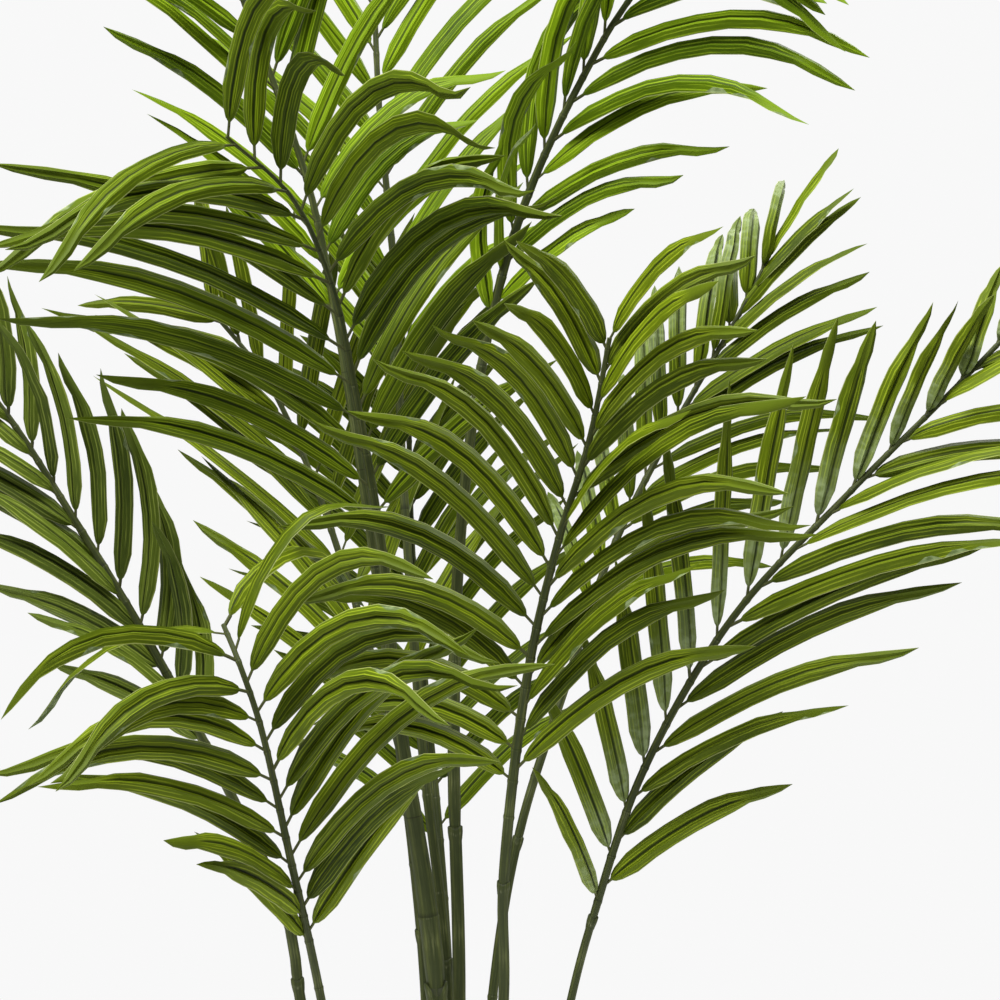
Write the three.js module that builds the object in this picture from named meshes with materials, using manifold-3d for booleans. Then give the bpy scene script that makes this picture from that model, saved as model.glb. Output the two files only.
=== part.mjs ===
// A potted feather palm: eleven fronds, each a leafy branch plugged into a bare stem, in a filled pot.
// Millimetres, +Z up. The origin is the middle of the pot's foot, and -Y is the plant's front.
import * as THREE from "three";
import { mergeVertices } from "three/addons/utils/BufferGeometryUtils.js";
import Module from "manifold-3d";

const wasm = await Module();
wasm.setup();

// ---- Driving dimensions ----
const GAP = 0.3; // between solids that touch
const POT = {
  height: 180, footRadius: 76, rimRadius: 100, wall: 3, floor: 4, rimBand: 16, rimLip: 4, rimBevel: 1,
};
const POT_SIDES = 32;
const FILLER = { belowRim: 34 };
const MOSS = { thickness: 12, crown: 5 };
const STEM = { sunk: 70, upright: 60, sides: 8, rings: 7, taper: 0.88 };
const SOCKET = { depth: 24, share: 0.6 }; // the hole in a stem's top that a branch's spigot fills
const RACHIS = { sides: 4, rings: 24, tipRadius: 2, taper: 1.4 };
const LEAFLET = { width: 19, thickness: 1.7, neckWidth: 3, pointShare: 0.38, pointPower: 0.75 };
const SHOULDER = { from: 0.05, share: 0.1 }; // where a leaflet widens from its neck: shares of its length
const LEAFLET_RINGS = [0, 2, 8, 13, 16]; // the steps of a leaflet's curve at which its solid has a section
const STEPS = 16; // steps in a leaflet's curve
const LONGEST_AT = 0.4; // the longest leaflets grow this far along a frond's leafy part
const CURL_FROM = 0.65; // the share of a leaflet's length beyond which its tip rolls over
const FLICK_FROM = 0.8; // and beyond which it bends back
const BENDING = { first: 0.4, more: 1.2 }; // the share of its bend at its neck, and what its tip adds
const STAGGER = 0.3; // how far a right leaflet grows beyond the left one of its pair, in pairs
// How far chance takes a leaflet from its frond's habit: in shares for its length and bend, in degrees for
// its angles, and how strongly its end flicks back, give or take as much.
const CHANCE = { length: 0.06, splay: 4, lift: 4, bend: 0.18, roll: 8, twist: 18, curl: 55, flick: 0.9 };
const CLEARANCE = 8; // leaflets of two fronds keep about this far apart

// ---- Fronds ----
// midline: the points of a branch and its stem above the pot. foot: where its stem meets the filler.
// collar and leafFrom: heights at which the branch leaves its stem and its leaflets begin.
// lengths: leaflets at the bottom, at their longest and at the tip.
// face: the way the frond's upper side looks. lift: how far leaflets rise from its plane, in degrees.
// left and right, for the leaflets of each side, from the bottom to the tip of the frond:
//   splay: their angle to the rachis in degrees. bend: how far they bend over in all, in radians.
//   roll: how far their upper sides turn towards the frond's tip, in degrees.
//   reach: their share of the length. wild: how unlike each other they are.
//   pull: the way they bend, where that isn't straight down.
const FRONDS = [
  {
    name: "right_front", foot: [20, -26], stemRadius: 5.4, collar: 700, leafFrom: 790, pairs: 15,
    midline: [[60, -60, 590], [60, -90, 700], [80, -130, 880], [105, -175, 995], [130, -210, 1080],
      [145, -235, 1160]],
    lengths: [185, 250, 120], face: [-0.2, -1, 0.1], lift: 12,
    left: { splay: [60, 30], bend: [1.5, 1.4], roll: [30, 30], reach: [1, 1.05], wild: 1 },
    right: { splay: [32, 18], bend: [1.1, 1.2], roll: [30, 30], reach: [1.3, 1.2], wild: 1.3 },
  },
  {
    name: "left_low", foot: [-26, -34], stemRadius: 4.4, collar: 560, leafFrom: 660, pairs: 12,
    midline: [[-95, -120, 605], [-115, -190, 735], [-135, -240, 850], [-150, -255, 900], [-165, -235, 930]],
    lengths: [174, 244, 172], face: [0.1, -1, 0.2], lift: 10,
    left: { splay: [26, 52], bend: [0.3, 2.4], roll: [35, 35], reach: [0.95, 1.15], wild: 1.2 },
    right: { splay: [36, 42], bend: [0.5, 3.2], roll: [30, 30], reach: [1.3, 1.05], wild: 1.4 },
  },
  {
    name: "left_tall", foot: [0, -22], stemRadius: 10.5, collar: 600, leafFrom: 1010, pairs: 13,
    midline: [[1, -25, 585], [-35, -40, 855], [-45, -55, 975], [-70, -95, 1135], [-85, -125, 1210],
      [-115, -170, 1280], [-165, -215, 1325]],
    lengths: [245, 300, 230], face: [0.1, -1, 0.2], lift: 8,
    left: { splay: [44, 40], bend: [0.8, 1.1], roll: [30, 30], reach: [1.14, 1.14], wild: 1.3 },
    right: { splay: [40, 50], bend: [0.9, 2.9], roll: [30, 30], reach: [0.85, 0.95],
      wild: 2.2, pull: [0.3, -0.5, -0.8] },
  },
  {
    name: "right_low", foot: [40, -8], stemRadius: 4.2, collar: 665, leafFrom: 680, pairs: 15,
    midline: [[120, -40, 590], [140, -60, 670], [180, -90, 795], [255, -120, 930], [350, -140, 1035],
      [435, -145, 1120], [485, -140, 1170]],
    lengths: [170, 265, 130], face: [0.2, -1, 0.3], lift: 8,
    left: { splay: [36, 26], bend: [0.5, 0.7], roll: [25, 35], reach: [0.95, 0.8], wild: 1.2 },
    right: { splay: [28, 20], bend: [0.7, 0.7], roll: [35, 35], reach: [1.06, 1.1], wild: 1.3 },
  },
  {
    name: "left_side", foot: [-38, -8], stemRadius: 5.6, collar: 605, leafFrom: 815, pairs: 13,
    midline: [[-120, -30, 585], [-130, -35, 655], [-180, -45, 770], [-250, -60, 905], [-315, -70, 1015],
      [-375, -80, 1110], [-440, -95, 1185]],
    lengths: [165, 205, 130], face: [0, -1, 0.2], lift: 8,
    left: { splay: [20, 20], bend: [0.7, 0.7], roll: [30, 30], reach: [1, 1],
      wild: 1.4, pull: [-0.8, -0.2, -0.5] },
    right: { splay: [40, 38], bend: [0.8, 0.8], roll: [30, 30], reach: [0.95, 0.95],
      wild: 1.3, pull: [-0.9, -0.2, -0.2] },
  },
  {
    name: "top_right", foot: [8, 4], stemRadius: 6.6, collar: 733, leafFrom: 1195, pairs: 12,
    midline: [[20, 10, 580], [15, 20, 805], [20, 25, 985], [40, 20, 1150], [75, 5, 1285], [125, -25, 1395],
      [180, -60, 1480], [260, -110, 1540]],
    lengths: [150, 265, 160], face: [0.1, -1, 0.3], lift: 12,
    left: { splay: [24, 26], bend: [1.6, 2.4], roll: [30, 30], reach: [1.1, 1.1],
      wild: 1.6, pull: [0.7, -0.3, -0.7] },
    right: { splay: [32, 34], bend: [0.9, 2.1], roll: [30, 30], reach: [1, 1.05], wild: 1.4 },
  },
  {
    name: "right_back", foot: [30, 14], stemRadius: 4.8, collar: 720, leafFrom: 930, pairs: 12,
    midline: [[50, 0, 580], [75, 45, 725], [120, 90, 860], [165, 130, 985], [225, 165, 1100],
      [290, 190, 1210], [320, 200, 1265]],
    lengths: [190, 250, 150], face: [0.1, -1, 0.2], lift: 8,
    left: { splay: [34, 28], bend: [1.7, 2.2], roll: [15, 15], reach: [0.85, 0.95],
      wild: 1.2, pull: [0.1, 0.9, -0.5] },
    right: { splay: [42, 6], bend: [1, 0.3], roll: [35, 35], reach: [1, 1], wild: 1.3 },
  },
  {
    name: "top_left", foot: [-14, 8], stemRadius: 5.4, collar: 640, leafFrom: 1200, pairs: 12,
    midline: [[-10, 15, 575], [-50, 25, 920], [-90, 20, 1185], [-115, 10, 1310], [-150, -5, 1415],
      [-195, -30, 1525], [-265, -70, 1615]],
    lengths: [200, 265, 140], face: [0.2, -1, 0.3], lift: 10,
    left: { splay: [32, 36], bend: [0.4, 1.4], roll: [25, 25], reach: [1, 1], wild: 1.6 },
    right: { splay: [40, 34], bend: [1.6, 1.8], roll: [15, 15], reach: [1, 1], wild: 1.6 },
  },
  {
    name: "left_back", foot: [-24, 34], stemRadius: 5, collar: 620, leafFrom: 820, pairs: 12,
    midline: [[-5, 45, 570], [-30, 95, 765], [-60, 125, 865], [-90, 150, 955], [-125, 175, 1050],
      [-170, 195, 1145], [-225, 205, 1215]],
    lengths: [240, 290, 150], face: [0, -1, 0.2], lift: 6,
    left: { splay: [26, 30], bend: [0.4, 0.5], roll: [25, 25], reach: [1, 1], wild: 1.3 },
    right: { splay: [40, 32], bend: [0.7, 0.8], roll: [20, 20], reach: [1, 1], wild: 1.3 },
  },
  {
    name: "top_centre", foot: [2, 30], stemRadius: 5.4, collar: 610, leafFrom: 1150, pairs: 13,
    midline: [[10, 30, 575], [-15, 70, 800], [-35, 120, 1050], [-45, 150, 1250], [-60, 165, 1410],
      [-70, 175, 1575], [-95, 180, 1700]],
    lengths: [210, 260, 120], face: [0, -1, 0], lift: 8,
    left: { splay: [38, 26], bend: [0.6, 0.7], roll: [20, 20], reach: [1, 1], wild: 1.4 },
    right: { splay: [38, 26], bend: [0.9, 0.8], roll: [20, 20], reach: [1, 1], wild: 1.4 },
  },
  {
    name: "back", foot: [24, 38], stemRadius: 5, collar: 600, leafFrom: 705, pairs: 14,
    midline: [[10, 70, 565], [0, 130, 695], [-15, 185, 835], [-30, 235, 970], [-35, 270, 1100],
      [-35, 290, 1225]],
    lengths: [190, 240, 120], face: [0, -1, 0], lift: 6,
    left: { splay: [44, 28], bend: [0.6, 0.8], roll: [20, 20], reach: [1, 1], wild: 1.2 },
    right: { splay: [44, 28], bend: [0.8, 0.8], roll: [20, 20], reach: [1, 1], wild: 1.2 },
  },
];

// ---- Worked out from the above ----
const fillerTop = POT.height - FILLER.belowRim;
const stemBottom = fillerTop - STEM.sunk;
const DOWN = new THREE.Vector3(0, 0, -1);
const radians = THREE.MathUtils.degToRad;
const mix = THREE.MathUtils.lerp;
const ease = (t) => t * t * (3 - 2 * t);

// A repeatable number from -1 to 1 for one leaflet of one frond, so that no two grow quite alike.
function chance(frondNumber, leafletNumber, channel) {
  const mixed = Math.sin(frondNumber * 12.9898 + leafletNumber * 78.233 + channel * 37.719) * 43758.5453;
  return 2 * (mixed - Math.floor(mixed)) - 1;
}

// ---- Solids ----

// A closed skin over rings that all have the same number of corners. A ring of one repeated point is a tip.
// The two halves of a ring are split along mirrored diagonals, so that a thin strap's two sides never cross.
function skinOf(rings) {
  const corners = rings[0].length;
  const positions = rings.flat().flatMap((p) => [p.x, p.y, p.z]);
  const faces = [];
  for (let r = 0; r + 1 < rings.length; r++) {
    for (let c = 0; c < corners; c++) {
      const next = (c + 1) % corners;
      const [a, b] = [r * corners + c, r * corners + next];
      const [d, e] = [a + corners, b + corners];
      if (c < corners / 2) faces.push(a, b, e, a, e, d);
      else faces.push(a, b, d, b, e, d);
    }
  }
  const last = (rings.length - 1) * corners;
  for (let c = 1; c + 1 < corners; c++) {
    faces.push(0, c + 1, c, last, last + c, last + c + 1);
  }
  const skin = new THREE.BufferGeometry();
  skin.setAttribute("position", new THREE.Float32BufferAttribute(positions, 3));
  skin.setIndex(faces);
  return skin;
}

// A three.js geometry as a manifold-3d solid.
function solidOf(geometry) {
  const bare = geometry.clone();
  bare.deleteAttribute("normal");
  bare.deleteAttribute("uv");
  const merged = mergeVertices(bare, 1e-4);
  const kept = [];
  const index = merged.index.array;
  for (let i = 0; i < index.length; i += 3) {
    const [a, b, c] = [index[i], index[i + 1], index[i + 2]];
    if (a !== b && b !== c && a !== c) kept.push(a, b, c);
  }
  const made = new wasm.Manifold(new wasm.Mesh({
    numProp: 3,
    vertProperties: merged.attributes.position.array,
    triVerts: new Uint32Array(kept),
  }));
  if (made.volume() >= 0) return made;
  for (let i = 0; i < kept.length; i += 3) [kept[i + 1], kept[i + 2]] = [kept[i + 2], kept[i + 1]];
  return new wasm.Manifold(new wasm.Mesh({
    numProp: 3,
    vertProperties: merged.attributes.position.array,
    triVerts: new Uint32Array(kept),
  }));
}

// A manifold-3d solid as a three.js geometry.
function geometryOf(solid) {
  const mesh = solid.getMesh();
  const geometry = new THREE.BufferGeometry();
  geometry.setAttribute("position", new THREE.BufferAttribute(new Float32Array(mesh.vertProperties), 3));
  geometry.setIndex(new THREE.BufferAttribute(new Uint32Array(mesh.triVerts), 1));
  geometry.computeVertexNormals();
  return geometry;
}

// ---- Midlines ----

// A frond's midline from the stem's bottom to the tip: evenly read points, each with its distance along.
function midlineOf(frond) {
  const [footX, footY] = frond.foot;
  const [x, y] = frond.midline[0];
  const lean = 0.1; // a stem stands nearly upright where it leaves the pot
  const knots = [
    [footX, footY, stemBottom],
    [mix(footX, x, lean), mix(footY, y, lean), fillerTop + STEM.upright],
    ...frond.midline,
  ].map((p) => new THREE.Vector3(...p));
  const readings = 240;
  const points = new THREE.CatmullRomCurve3(knots, false, "centripetal").getPoints(readings);
  const reach = [0];
  for (let i = 1; i < points.length; i++) reach.push(reach[i - 1] + points[i].distanceTo(points[i - 1]));
  return { points, reach, length: reach[reach.length - 1] };
}

// The point and heading at a distance along a midline.
function placeOn(line, distance) {
  const at = Math.min(Math.max(distance, 0), line.length);
  let i = 1;
  while (i < line.reach.length - 1 && line.reach[i] < at) i++;
  const share = (at - line.reach[i - 1]) / (line.reach[i] - line.reach[i - 1]);
  const point = line.points[i - 1].clone().lerp(line.points[i], share);
  const heading = line.points[i].clone().sub(line.points[i - 1]).normalize();
  return { point, heading };
}

// How far along a midline a height is first reached.
function distanceAtHeight(line, height) {
  const i = line.points.findIndex((p) => p.z >= height);
  const share = (height - line.points[i - 1].z) / (line.points[i].z - line.points[i - 1].z);
  return mix(line.reach[i - 1], line.reach[i], share);
}

// The frame of a frond at a distance along its midline: heading, right side and upper side.
function frameOn(frond, line, distance) {
  const { point, heading } = placeOn(line, distance);
  const right = heading.clone().cross(new THREE.Vector3(...frond.face)).normalize();
  const upper = right.clone().cross(heading);
  return { point, heading, right, upper };
}

// A round section of a tube along a midline.
function tubeRing(frond, line, distance, radius, sides) {
  const { point, right, upper } = frameOn(frond, line, distance);
  return Array.from({ length: sides }, (_, i) => {
    const angle = (2 * Math.PI * (i + 0.5)) / sides;
    return point.clone().addScaledVector(right, radius * Math.cos(angle))
      .addScaledVector(upper, radius * Math.sin(angle));
  });
}

// A tube from rows of [distance, radius].
const tubeOf = (frond, line, rows, sides) =>
  solidOf(skinOf(rows.map(([distance, radius]) => tubeRing(frond, line, distance, radius, sides))));

// ---- Leaflets ----

// A leaflet's half width at a share of its length: a neck, a round shoulder, a long strap and a point.
function halfWidth(share) {
  const shoulder = Math.min(1, Math.max(0, (share - SHOULDER.from) / SHOULDER.share));
  const point = Math.min(1, Math.max(0, (1 - share) / LEAFLET.pointShare)) ** LEAFLET.pointPower;
  return Math.max(LEAFLET.neckWidth / 2, (LEAFLET.width / 2) * Math.sqrt(shoulder) * point);
}

// A leaflet's full length at a share of the leafy part, before its own chance.
function fullLength(frond, share) {
  const [first, longest, last] = frond.lengths;
  if (share < LONGEST_AT) return mix(first, longest, ease(share / LONGEST_AT));
  return mix(longest, last, ease((share - LONGEST_AT) / (1 - LONGEST_AT)));
}

// One leaflet's place and habit, from its own eight draws between -1 and 1.
function budOf(frond, side, habit, share, distance, drawn) {
  const at = ([first, last]) => mix(first, last, share);
  return {
    side,
    distance,
    pull: habit.pull ? new THREE.Vector3(...habit.pull).normalize() : DOWN,
    length: fullLength(frond, share) * at(habit.reach) * (1 + CHANCE.length * habit.wild * drawn[1]),
    splay: radians(at(habit.splay) + CHANCE.splay * habit.wild * drawn[2]),
    lift: radians(frond.lift + CHANCE.lift * habit.wild * drawn[3]),
    bend: at(habit.bend) * (1 + CHANCE.bend * habit.wild * drawn[4]),
    roll: radians(-side * (at(habit.roll) + CHANCE.roll * habit.wild * drawn[0])),
    twist: radians(CHANCE.twist * drawn[5]),
    curl: radians(CHANCE.curl * drawn[7]),
    flick: CHANCE.flick + CHANCE.flick * drawn[6],
  };
}

// Every leaflet of a frond, from the bottom to the tip, before it grows.
function budsOf(frond, frondNumber, line) {
  const from = distanceAtHeight(line, frond.leafFrom);
  const to = line.length - RACHIS.tipRadius;
  const buds = [];
  for (let pair = 0; pair < frond.pairs; pair++) {
    for (const side of [-1, 1]) {
      const number = buds.length;
      const habit = side < 0 ? frond.left : frond.right;
      const share = Math.min(1, (pair + (side < 0 ? 0 : STAGGER)) / (frond.pairs - 1 + STAGGER));
      const drawn = Array.from({ length: 8 }, (_, channel) => chance(frondNumber, number, channel));
      buds.push(budOf(frond, side, habit, share, mix(from, to, share), drawn));
    }
  }
  return buds;
}

// Grows a bud: the frames along a leaflet's curve, from inside the rachis to its tip.
function growLeaflet(frond, line, bud, raise, shorten) {
  const { point, heading, right, upper } = frameOn(frond, line, bud.distance);
  const lift = bud.lift + raise;
  const outward = right.multiplyScalar(bud.side * Math.cos(lift)).addScaledVector(upper, Math.sin(lift));
  const along = heading.multiplyScalar(Math.cos(bud.splay)).addScaledVector(outward, Math.sin(bud.splay));
  const up = upper.addScaledVector(outward, -Math.sin(lift));
  const step = (bud.length * shorten) / STEPS;
  const frames = [];
  for (let i = 0; i <= STEPS; i++) {
    const share = i / STEPS;
    up.addScaledVector(along, -up.dot(along)).normalize();
    const curled = bud.curl * Math.max(0, (share - CURL_FROM) / (1 - CURL_FROM));
    const across = along.clone().cross(up).applyAxisAngle(along, bud.roll + bud.twist * share + curled);
    frames.push({ share, at: point.clone(), across, up: across.clone().cross(along) });
    point.addScaledVector(along, step);
    const weight = (bud.bend * (BENDING.first + BENDING.more * share)) / STEPS;
    const turn = share > FLICK_FROM ? -weight * bud.flick : weight;
    along.addScaledVector(bud.pull, turn).addScaledVector(along, -turn * bud.pull.dot(along)).normalize();
  }
  return frames;
}

// A leaflet's plain solid: a strap with a flat upper face and a ridge along the underside.
function leafletSolid(frames) {
  const rings = LEAFLET_RINGS.map((i) => {
    const { share, at, across, up } = frames[i];
    if (i === STEPS) return [at, at, at, at];
    const half = i === 0 ? LEAFLET.neckWidth / 2 : halfWidth(share);
    const spine = i === 0 ? LEAFLET.neckWidth : LEAFLET.thickness;
    return [
      at.clone().addScaledVector(across, half),
      at,
      at.clone().addScaledVector(across, -half),
      at.clone().addScaledVector(up, -spine),
    ];
  });
  return solidOf(skinOf(rings));
}

// ---- Room between fronds ----

// Space in cells, each of which remembers the fronds that have grown in it or beside it.
const OTHER_FROND = 1000;
const ROOM = { low: [-900, -700, 0], cells: [225, 175, 260] };
const claimed = new Uint16Array(ROOM.cells[0] * ROOM.cells[1] * ROOM.cells[2]);
const filled = new Uint8Array(claimed.length); // the number, from 1, of the frond with a blade in the cell
const cellOf = (p) => [
  Math.floor((p.x - ROOM.low[0]) / CLEARANCE),
  Math.floor((p.y - ROOM.low[1]) / CLEARANCE),
  Math.floor((p.z - ROOM.low[2]) / CLEARANCE),
];
const slotOf = (x, y, z) => (x * ROOM.cells[1] + y) * ROOM.cells[2] + z;

function claim(points, frondNumber) {
  const near = [-1, 0, 1];
  for (const p of points) {
    const [x, y, z] = cellOf(p);
    for (const i of near) for (const j of near) for (const k of near) {
      claimed[slotOf(x + i, y + j, z + k)] |= 1 << frondNumber;
    }
  }
}

// How badly these points crowd what has grown: a point in another frond's room counts far more than one in
// a leaflet of the same frond.
function crowding(points, frondNumber) {
  let crowd = 0;
  for (const p of points) {
    const slot = slotOf(...cellOf(p));
    if (claimed[slot] & ~(1 << frondNumber)) crowd += OTHER_FROND;
    else if (filled[slot] === frondNumber + 1) crowd += 1;
  }
  return crowd;
}

// Marks the cells that a fitted leaflet's blade is in.
function fill(points, frondNumber) {
  for (const p of points) filled[slotOf(...cellOf(p))] = frondNumber + 1;
}

// Where a blade is read: in shares of each step of its curve, and of its half width to both sides.
const READ_AT = { along: [0.33, 0.67, 1], across: [-1, -0.5, 0, 0.5, 1] };

// Points over a leaflet's blade, close enough together to find anything that crosses it.
function bladePoints(frames) {
  const points = [];
  for (let i = 2; i < frames.length; i++) {
    const [a, b] = [frames[i - 1], frames[i]];
    for (const t of READ_AT.along) {
      const at = a.at.clone().lerp(b.at, t);
      const half = halfWidth(mix(a.share, b.share, t));
      for (const reach of READ_AT.across) {
        points.push(at.clone().addScaledVector(b.across, reach * half));
      }
    }
  }
  return points;
}

// The lengths and raises that a leaflet tries, nearest to its habit first.
const TRIES = { shares: [1, 0.8, 0.62, 0.45], raises: [0, 8, -8, 16, -16, 24, -24, 32, -32] };

// The first way of growing that keeps clear of the other fronds, or else the least crowded one.
function fitLeaflet(frond, frondNumber, line, bud) {
  let best = null;
  for (const shorten of TRIES.shares) {
    for (const degrees of TRIES.raises) {
      const frames = growLeaflet(frond, line, bud, radians(degrees), shorten);
      const points = bladePoints(frames);
      const crowd = crowding(points, frondNumber);
      if (!best || crowd < best.crowd) best = { frames, points, crowd };
      if (crowd === 0) return best;
    }
  }
  return best;
}

// ---- Pieces ----

const COLOURS = { pot: 0x2f3133, filler: 0x8c8578, moss: 0x4e4a22, stem: 0x3f4a22, frond: 0x4c6319 };
const plant = new THREE.Group();

function addPiece(name, geometry, colour, roughness) {
  const material = new THREE.MeshStandardMaterial({ color: colour, roughness, metalness: 0 });
  const mesh = new THREE.Mesh(geometry, material);
  mesh.name = name;
  plant.add(mesh);
}

// The radius of the pot's inner wall at a height.
const innerRadius = (z) => mix(POT.footRadius, POT.rimRadius - POT.rimLip, z / POT.height) - POT.wall;

function potGeometry() {
  const outer = (z) => innerRadius(z) + POT.wall;
  const band = POT.height - POT.rimBand;
  const outline = [
    [0, 0], [POT.footRadius, 0], [outer(band), band], [outer(band) + POT.rimLip, band + POT.rimBevel],
    [POT.rimRadius, POT.height], [innerRadius(POT.height), POT.height], [innerRadius(POT.floor), POT.floor],
    [0, POT.floor],
  ];
  const lathe = new THREE.LatheGeometry(outline.map(([r, z]) => new THREE.Vector2(r, z)), POT_SIDES);
  return lathe.rotateX(Math.PI / 2);
}

// A round plug that fits the pot between two heights, its top raised in the middle.
function plugSolid(bottom, top, crown) {
  const outline = [
    [0, bottom], [innerRadius(bottom) - GAP, bottom], [innerRadius(top) - GAP, top], [0, top + crown],
  ];
  const lathe = new THREE.LatheGeometry(outline.map(([r, z]) => new THREE.Vector2(r, z)), POT_SIDES);
  return solidOf(lathe.rotateX(Math.PI / 2));
}

// A frond's bare stem, from inside the filler to its collar, as rows of [distance, radius].
function stemRows(frond, line, extra) {
  const top = distanceAtHeight(line, frond.collar);
  return Array.from({ length: STEM.rings }, (_, i) => {
    const share = i / (STEM.rings - 1);
    return [share * top, frond.stemRadius * mix(1, STEM.taper, share) + extra];
  });
}

// A frond's rachis, with the spigot that plugs into its stem, as rows of [distance, radius].
function rachisRows(frond, line) {
  const collar = distanceAtHeight(line, frond.collar);
  const stemTop = frond.stemRadius * STEM.taper;
  const spigot = stemTop * SOCKET.share;
  const rows = [[collar - SOCKET.depth + GAP, spigot], [collar + GAP, spigot]];
  for (let i = 0; i < RACHIS.rings; i++) {
    const share = i / (RACHIS.rings - 1);
    const radius = mix(stemTop, RACHIS.tipRadius, share ** RACHIS.taper);
    rows.push([mix(collar + GAP, line.length, share), radius]);
  }
  return rows;
}

function socketRows(frond, line) {
  const collar = distanceAtHeight(line, frond.collar);
  const radius = frond.stemRadius * STEM.taper * SOCKET.share + GAP;
  return [[collar - SOCKET.depth, radius], [collar + 1, radius]];
}

const lines = FRONDS.map(midlineOf);

// Stems and rachises take their room first, because leaflets bend round them.
FRONDS.forEach((frond, number) => {
  for (const rows of [stemRows(frond, lines[number], 0), rachisRows(frond, lines[number])]) {
    for (let i = 1; i < rows.length; i++) {
      const [from, radius] = rows[i - 1];
      for (let d = from; d < rows[i][0]; d += CLEARANCE / 2) {
        claim(tubeRing(frond, lines[number], d, radius, STEM.sides), number);
      }
    }
  }
});

const solids = { filler: plugSolid(POT.floor + GAP, fillerTop, 0) };
solids.moss = plugSolid(fillerTop + GAP, fillerTop + MOSS.thickness, MOSS.crown);

FRONDS.forEach((frond, number) => {
  const line = lines[number];
  const stem = tubeOf(frond, line, stemRows(frond, line, 0), STEM.sides);
  const socket = tubeOf(frond, line, socketRows(frond, line), RACHIS.sides);
  addPiece("stem_" + frond.name, geometryOf(stem.subtract(socket)), COLOURS.stem, 0.5);

  let branch = tubeOf(frond, line, rachisRows(frond, line), RACHIS.sides);
  for (const bud of budsOf(frond, number, line)) {
    const fitted = fitLeaflet(frond, number, line, bud);
    claim(fitted.points, number);
    fill(fitted.points, number);
    branch = branch.add(leafletSolid(fitted.frames));
  }
  addPiece("frond_" + frond.name, geometryOf(branch), COLOURS.frond, 0.55);

  const hole = tubeOf(frond, line, stemRows(frond, line, GAP), STEM.sides);
  const widest = frond.stemRadius + GAP;
  const below = tubeOf(frond, line, [[-GAP, widest], [1, widest]], STEM.sides);
  solids.filler = solids.filler.subtract(hole).subtract(below);
  solids.moss = solids.moss.subtract(hole);
});

addPiece("pot", potGeometry(), COLOURS.pot, 0.55);
addPiece("filler", geometryOf(solids.filler), COLOURS.filler, 0.9);
addPiece("moss_layer", geometryOf(solids.moss), COLOURS.moss, 1);

export default plant;
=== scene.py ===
"""The looks of a potted feather palm: eleven fronds on bare stems, a moss layer and a plain pot."""
import logging
import math
from dataclasses import dataclass, field, replace
from enum import Enum
from typing import Callable, ClassVar, Iterable, Sequence, Union

import bmesh
import bpy
import numpy as np
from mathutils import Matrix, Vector


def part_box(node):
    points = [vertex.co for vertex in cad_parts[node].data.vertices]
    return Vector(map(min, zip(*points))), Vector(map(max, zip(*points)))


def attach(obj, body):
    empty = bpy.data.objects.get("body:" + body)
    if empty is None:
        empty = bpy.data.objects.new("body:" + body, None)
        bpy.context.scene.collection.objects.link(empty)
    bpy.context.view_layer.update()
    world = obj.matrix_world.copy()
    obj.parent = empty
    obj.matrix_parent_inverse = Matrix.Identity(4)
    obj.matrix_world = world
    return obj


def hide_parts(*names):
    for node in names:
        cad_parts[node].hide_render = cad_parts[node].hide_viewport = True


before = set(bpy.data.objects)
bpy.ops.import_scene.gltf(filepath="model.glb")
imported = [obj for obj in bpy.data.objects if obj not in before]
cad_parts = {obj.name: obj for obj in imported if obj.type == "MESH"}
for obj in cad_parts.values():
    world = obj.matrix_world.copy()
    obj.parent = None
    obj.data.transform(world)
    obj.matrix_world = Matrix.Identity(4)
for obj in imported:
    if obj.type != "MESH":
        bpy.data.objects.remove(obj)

logging.basicConfig(level=logging.INFO, format="%(message)s")
log = logging.getLogger("potted_palm")

Colour = tuple[float, float, float, float]
Point = tuple[float, float, float]
Pair = tuple[float, float]
Number = Union["Wire", float]

BODY = "root"
MM = 0.001  # the palm grows in millimetres, and its meshes are in metres
LEAF_MAP = "leaf"  # along and across a leaflet
LEAF_PITCH = 2  # each leaflet of a frond has its own stretch of the map, this long
UNDERSIDE = 2.0  # how far across the map a leaflet's underside lies from its upper face
STEM_MAP = "stem"  # along and round a stem
JOINT_MARK = "joint"  # 1 on a joint's pale ring and -1 in the crease beside it, where a shadow is painted


def srgb(red: int, green: int, blue: int) -> Colour:
    """A screen colour as linear light.

    Args:
        red: Red, from 0 to 255.
        green: Green, from 0 to 255.
        blue: Blue, from 0 to 255.

    Returns:
        The colour with an alpha of 1.
    """
    def linear(part: int) -> float:
        """One channel as linear light."""
        share = part / 255
        return share / 12.92 if share <= 0.04045 else ((share + 0.055) / 1.055) ** 2.4

    return (linear(red), linear(green), linear(blue), 1.0)


# ---- Shader nodes ----


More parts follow.
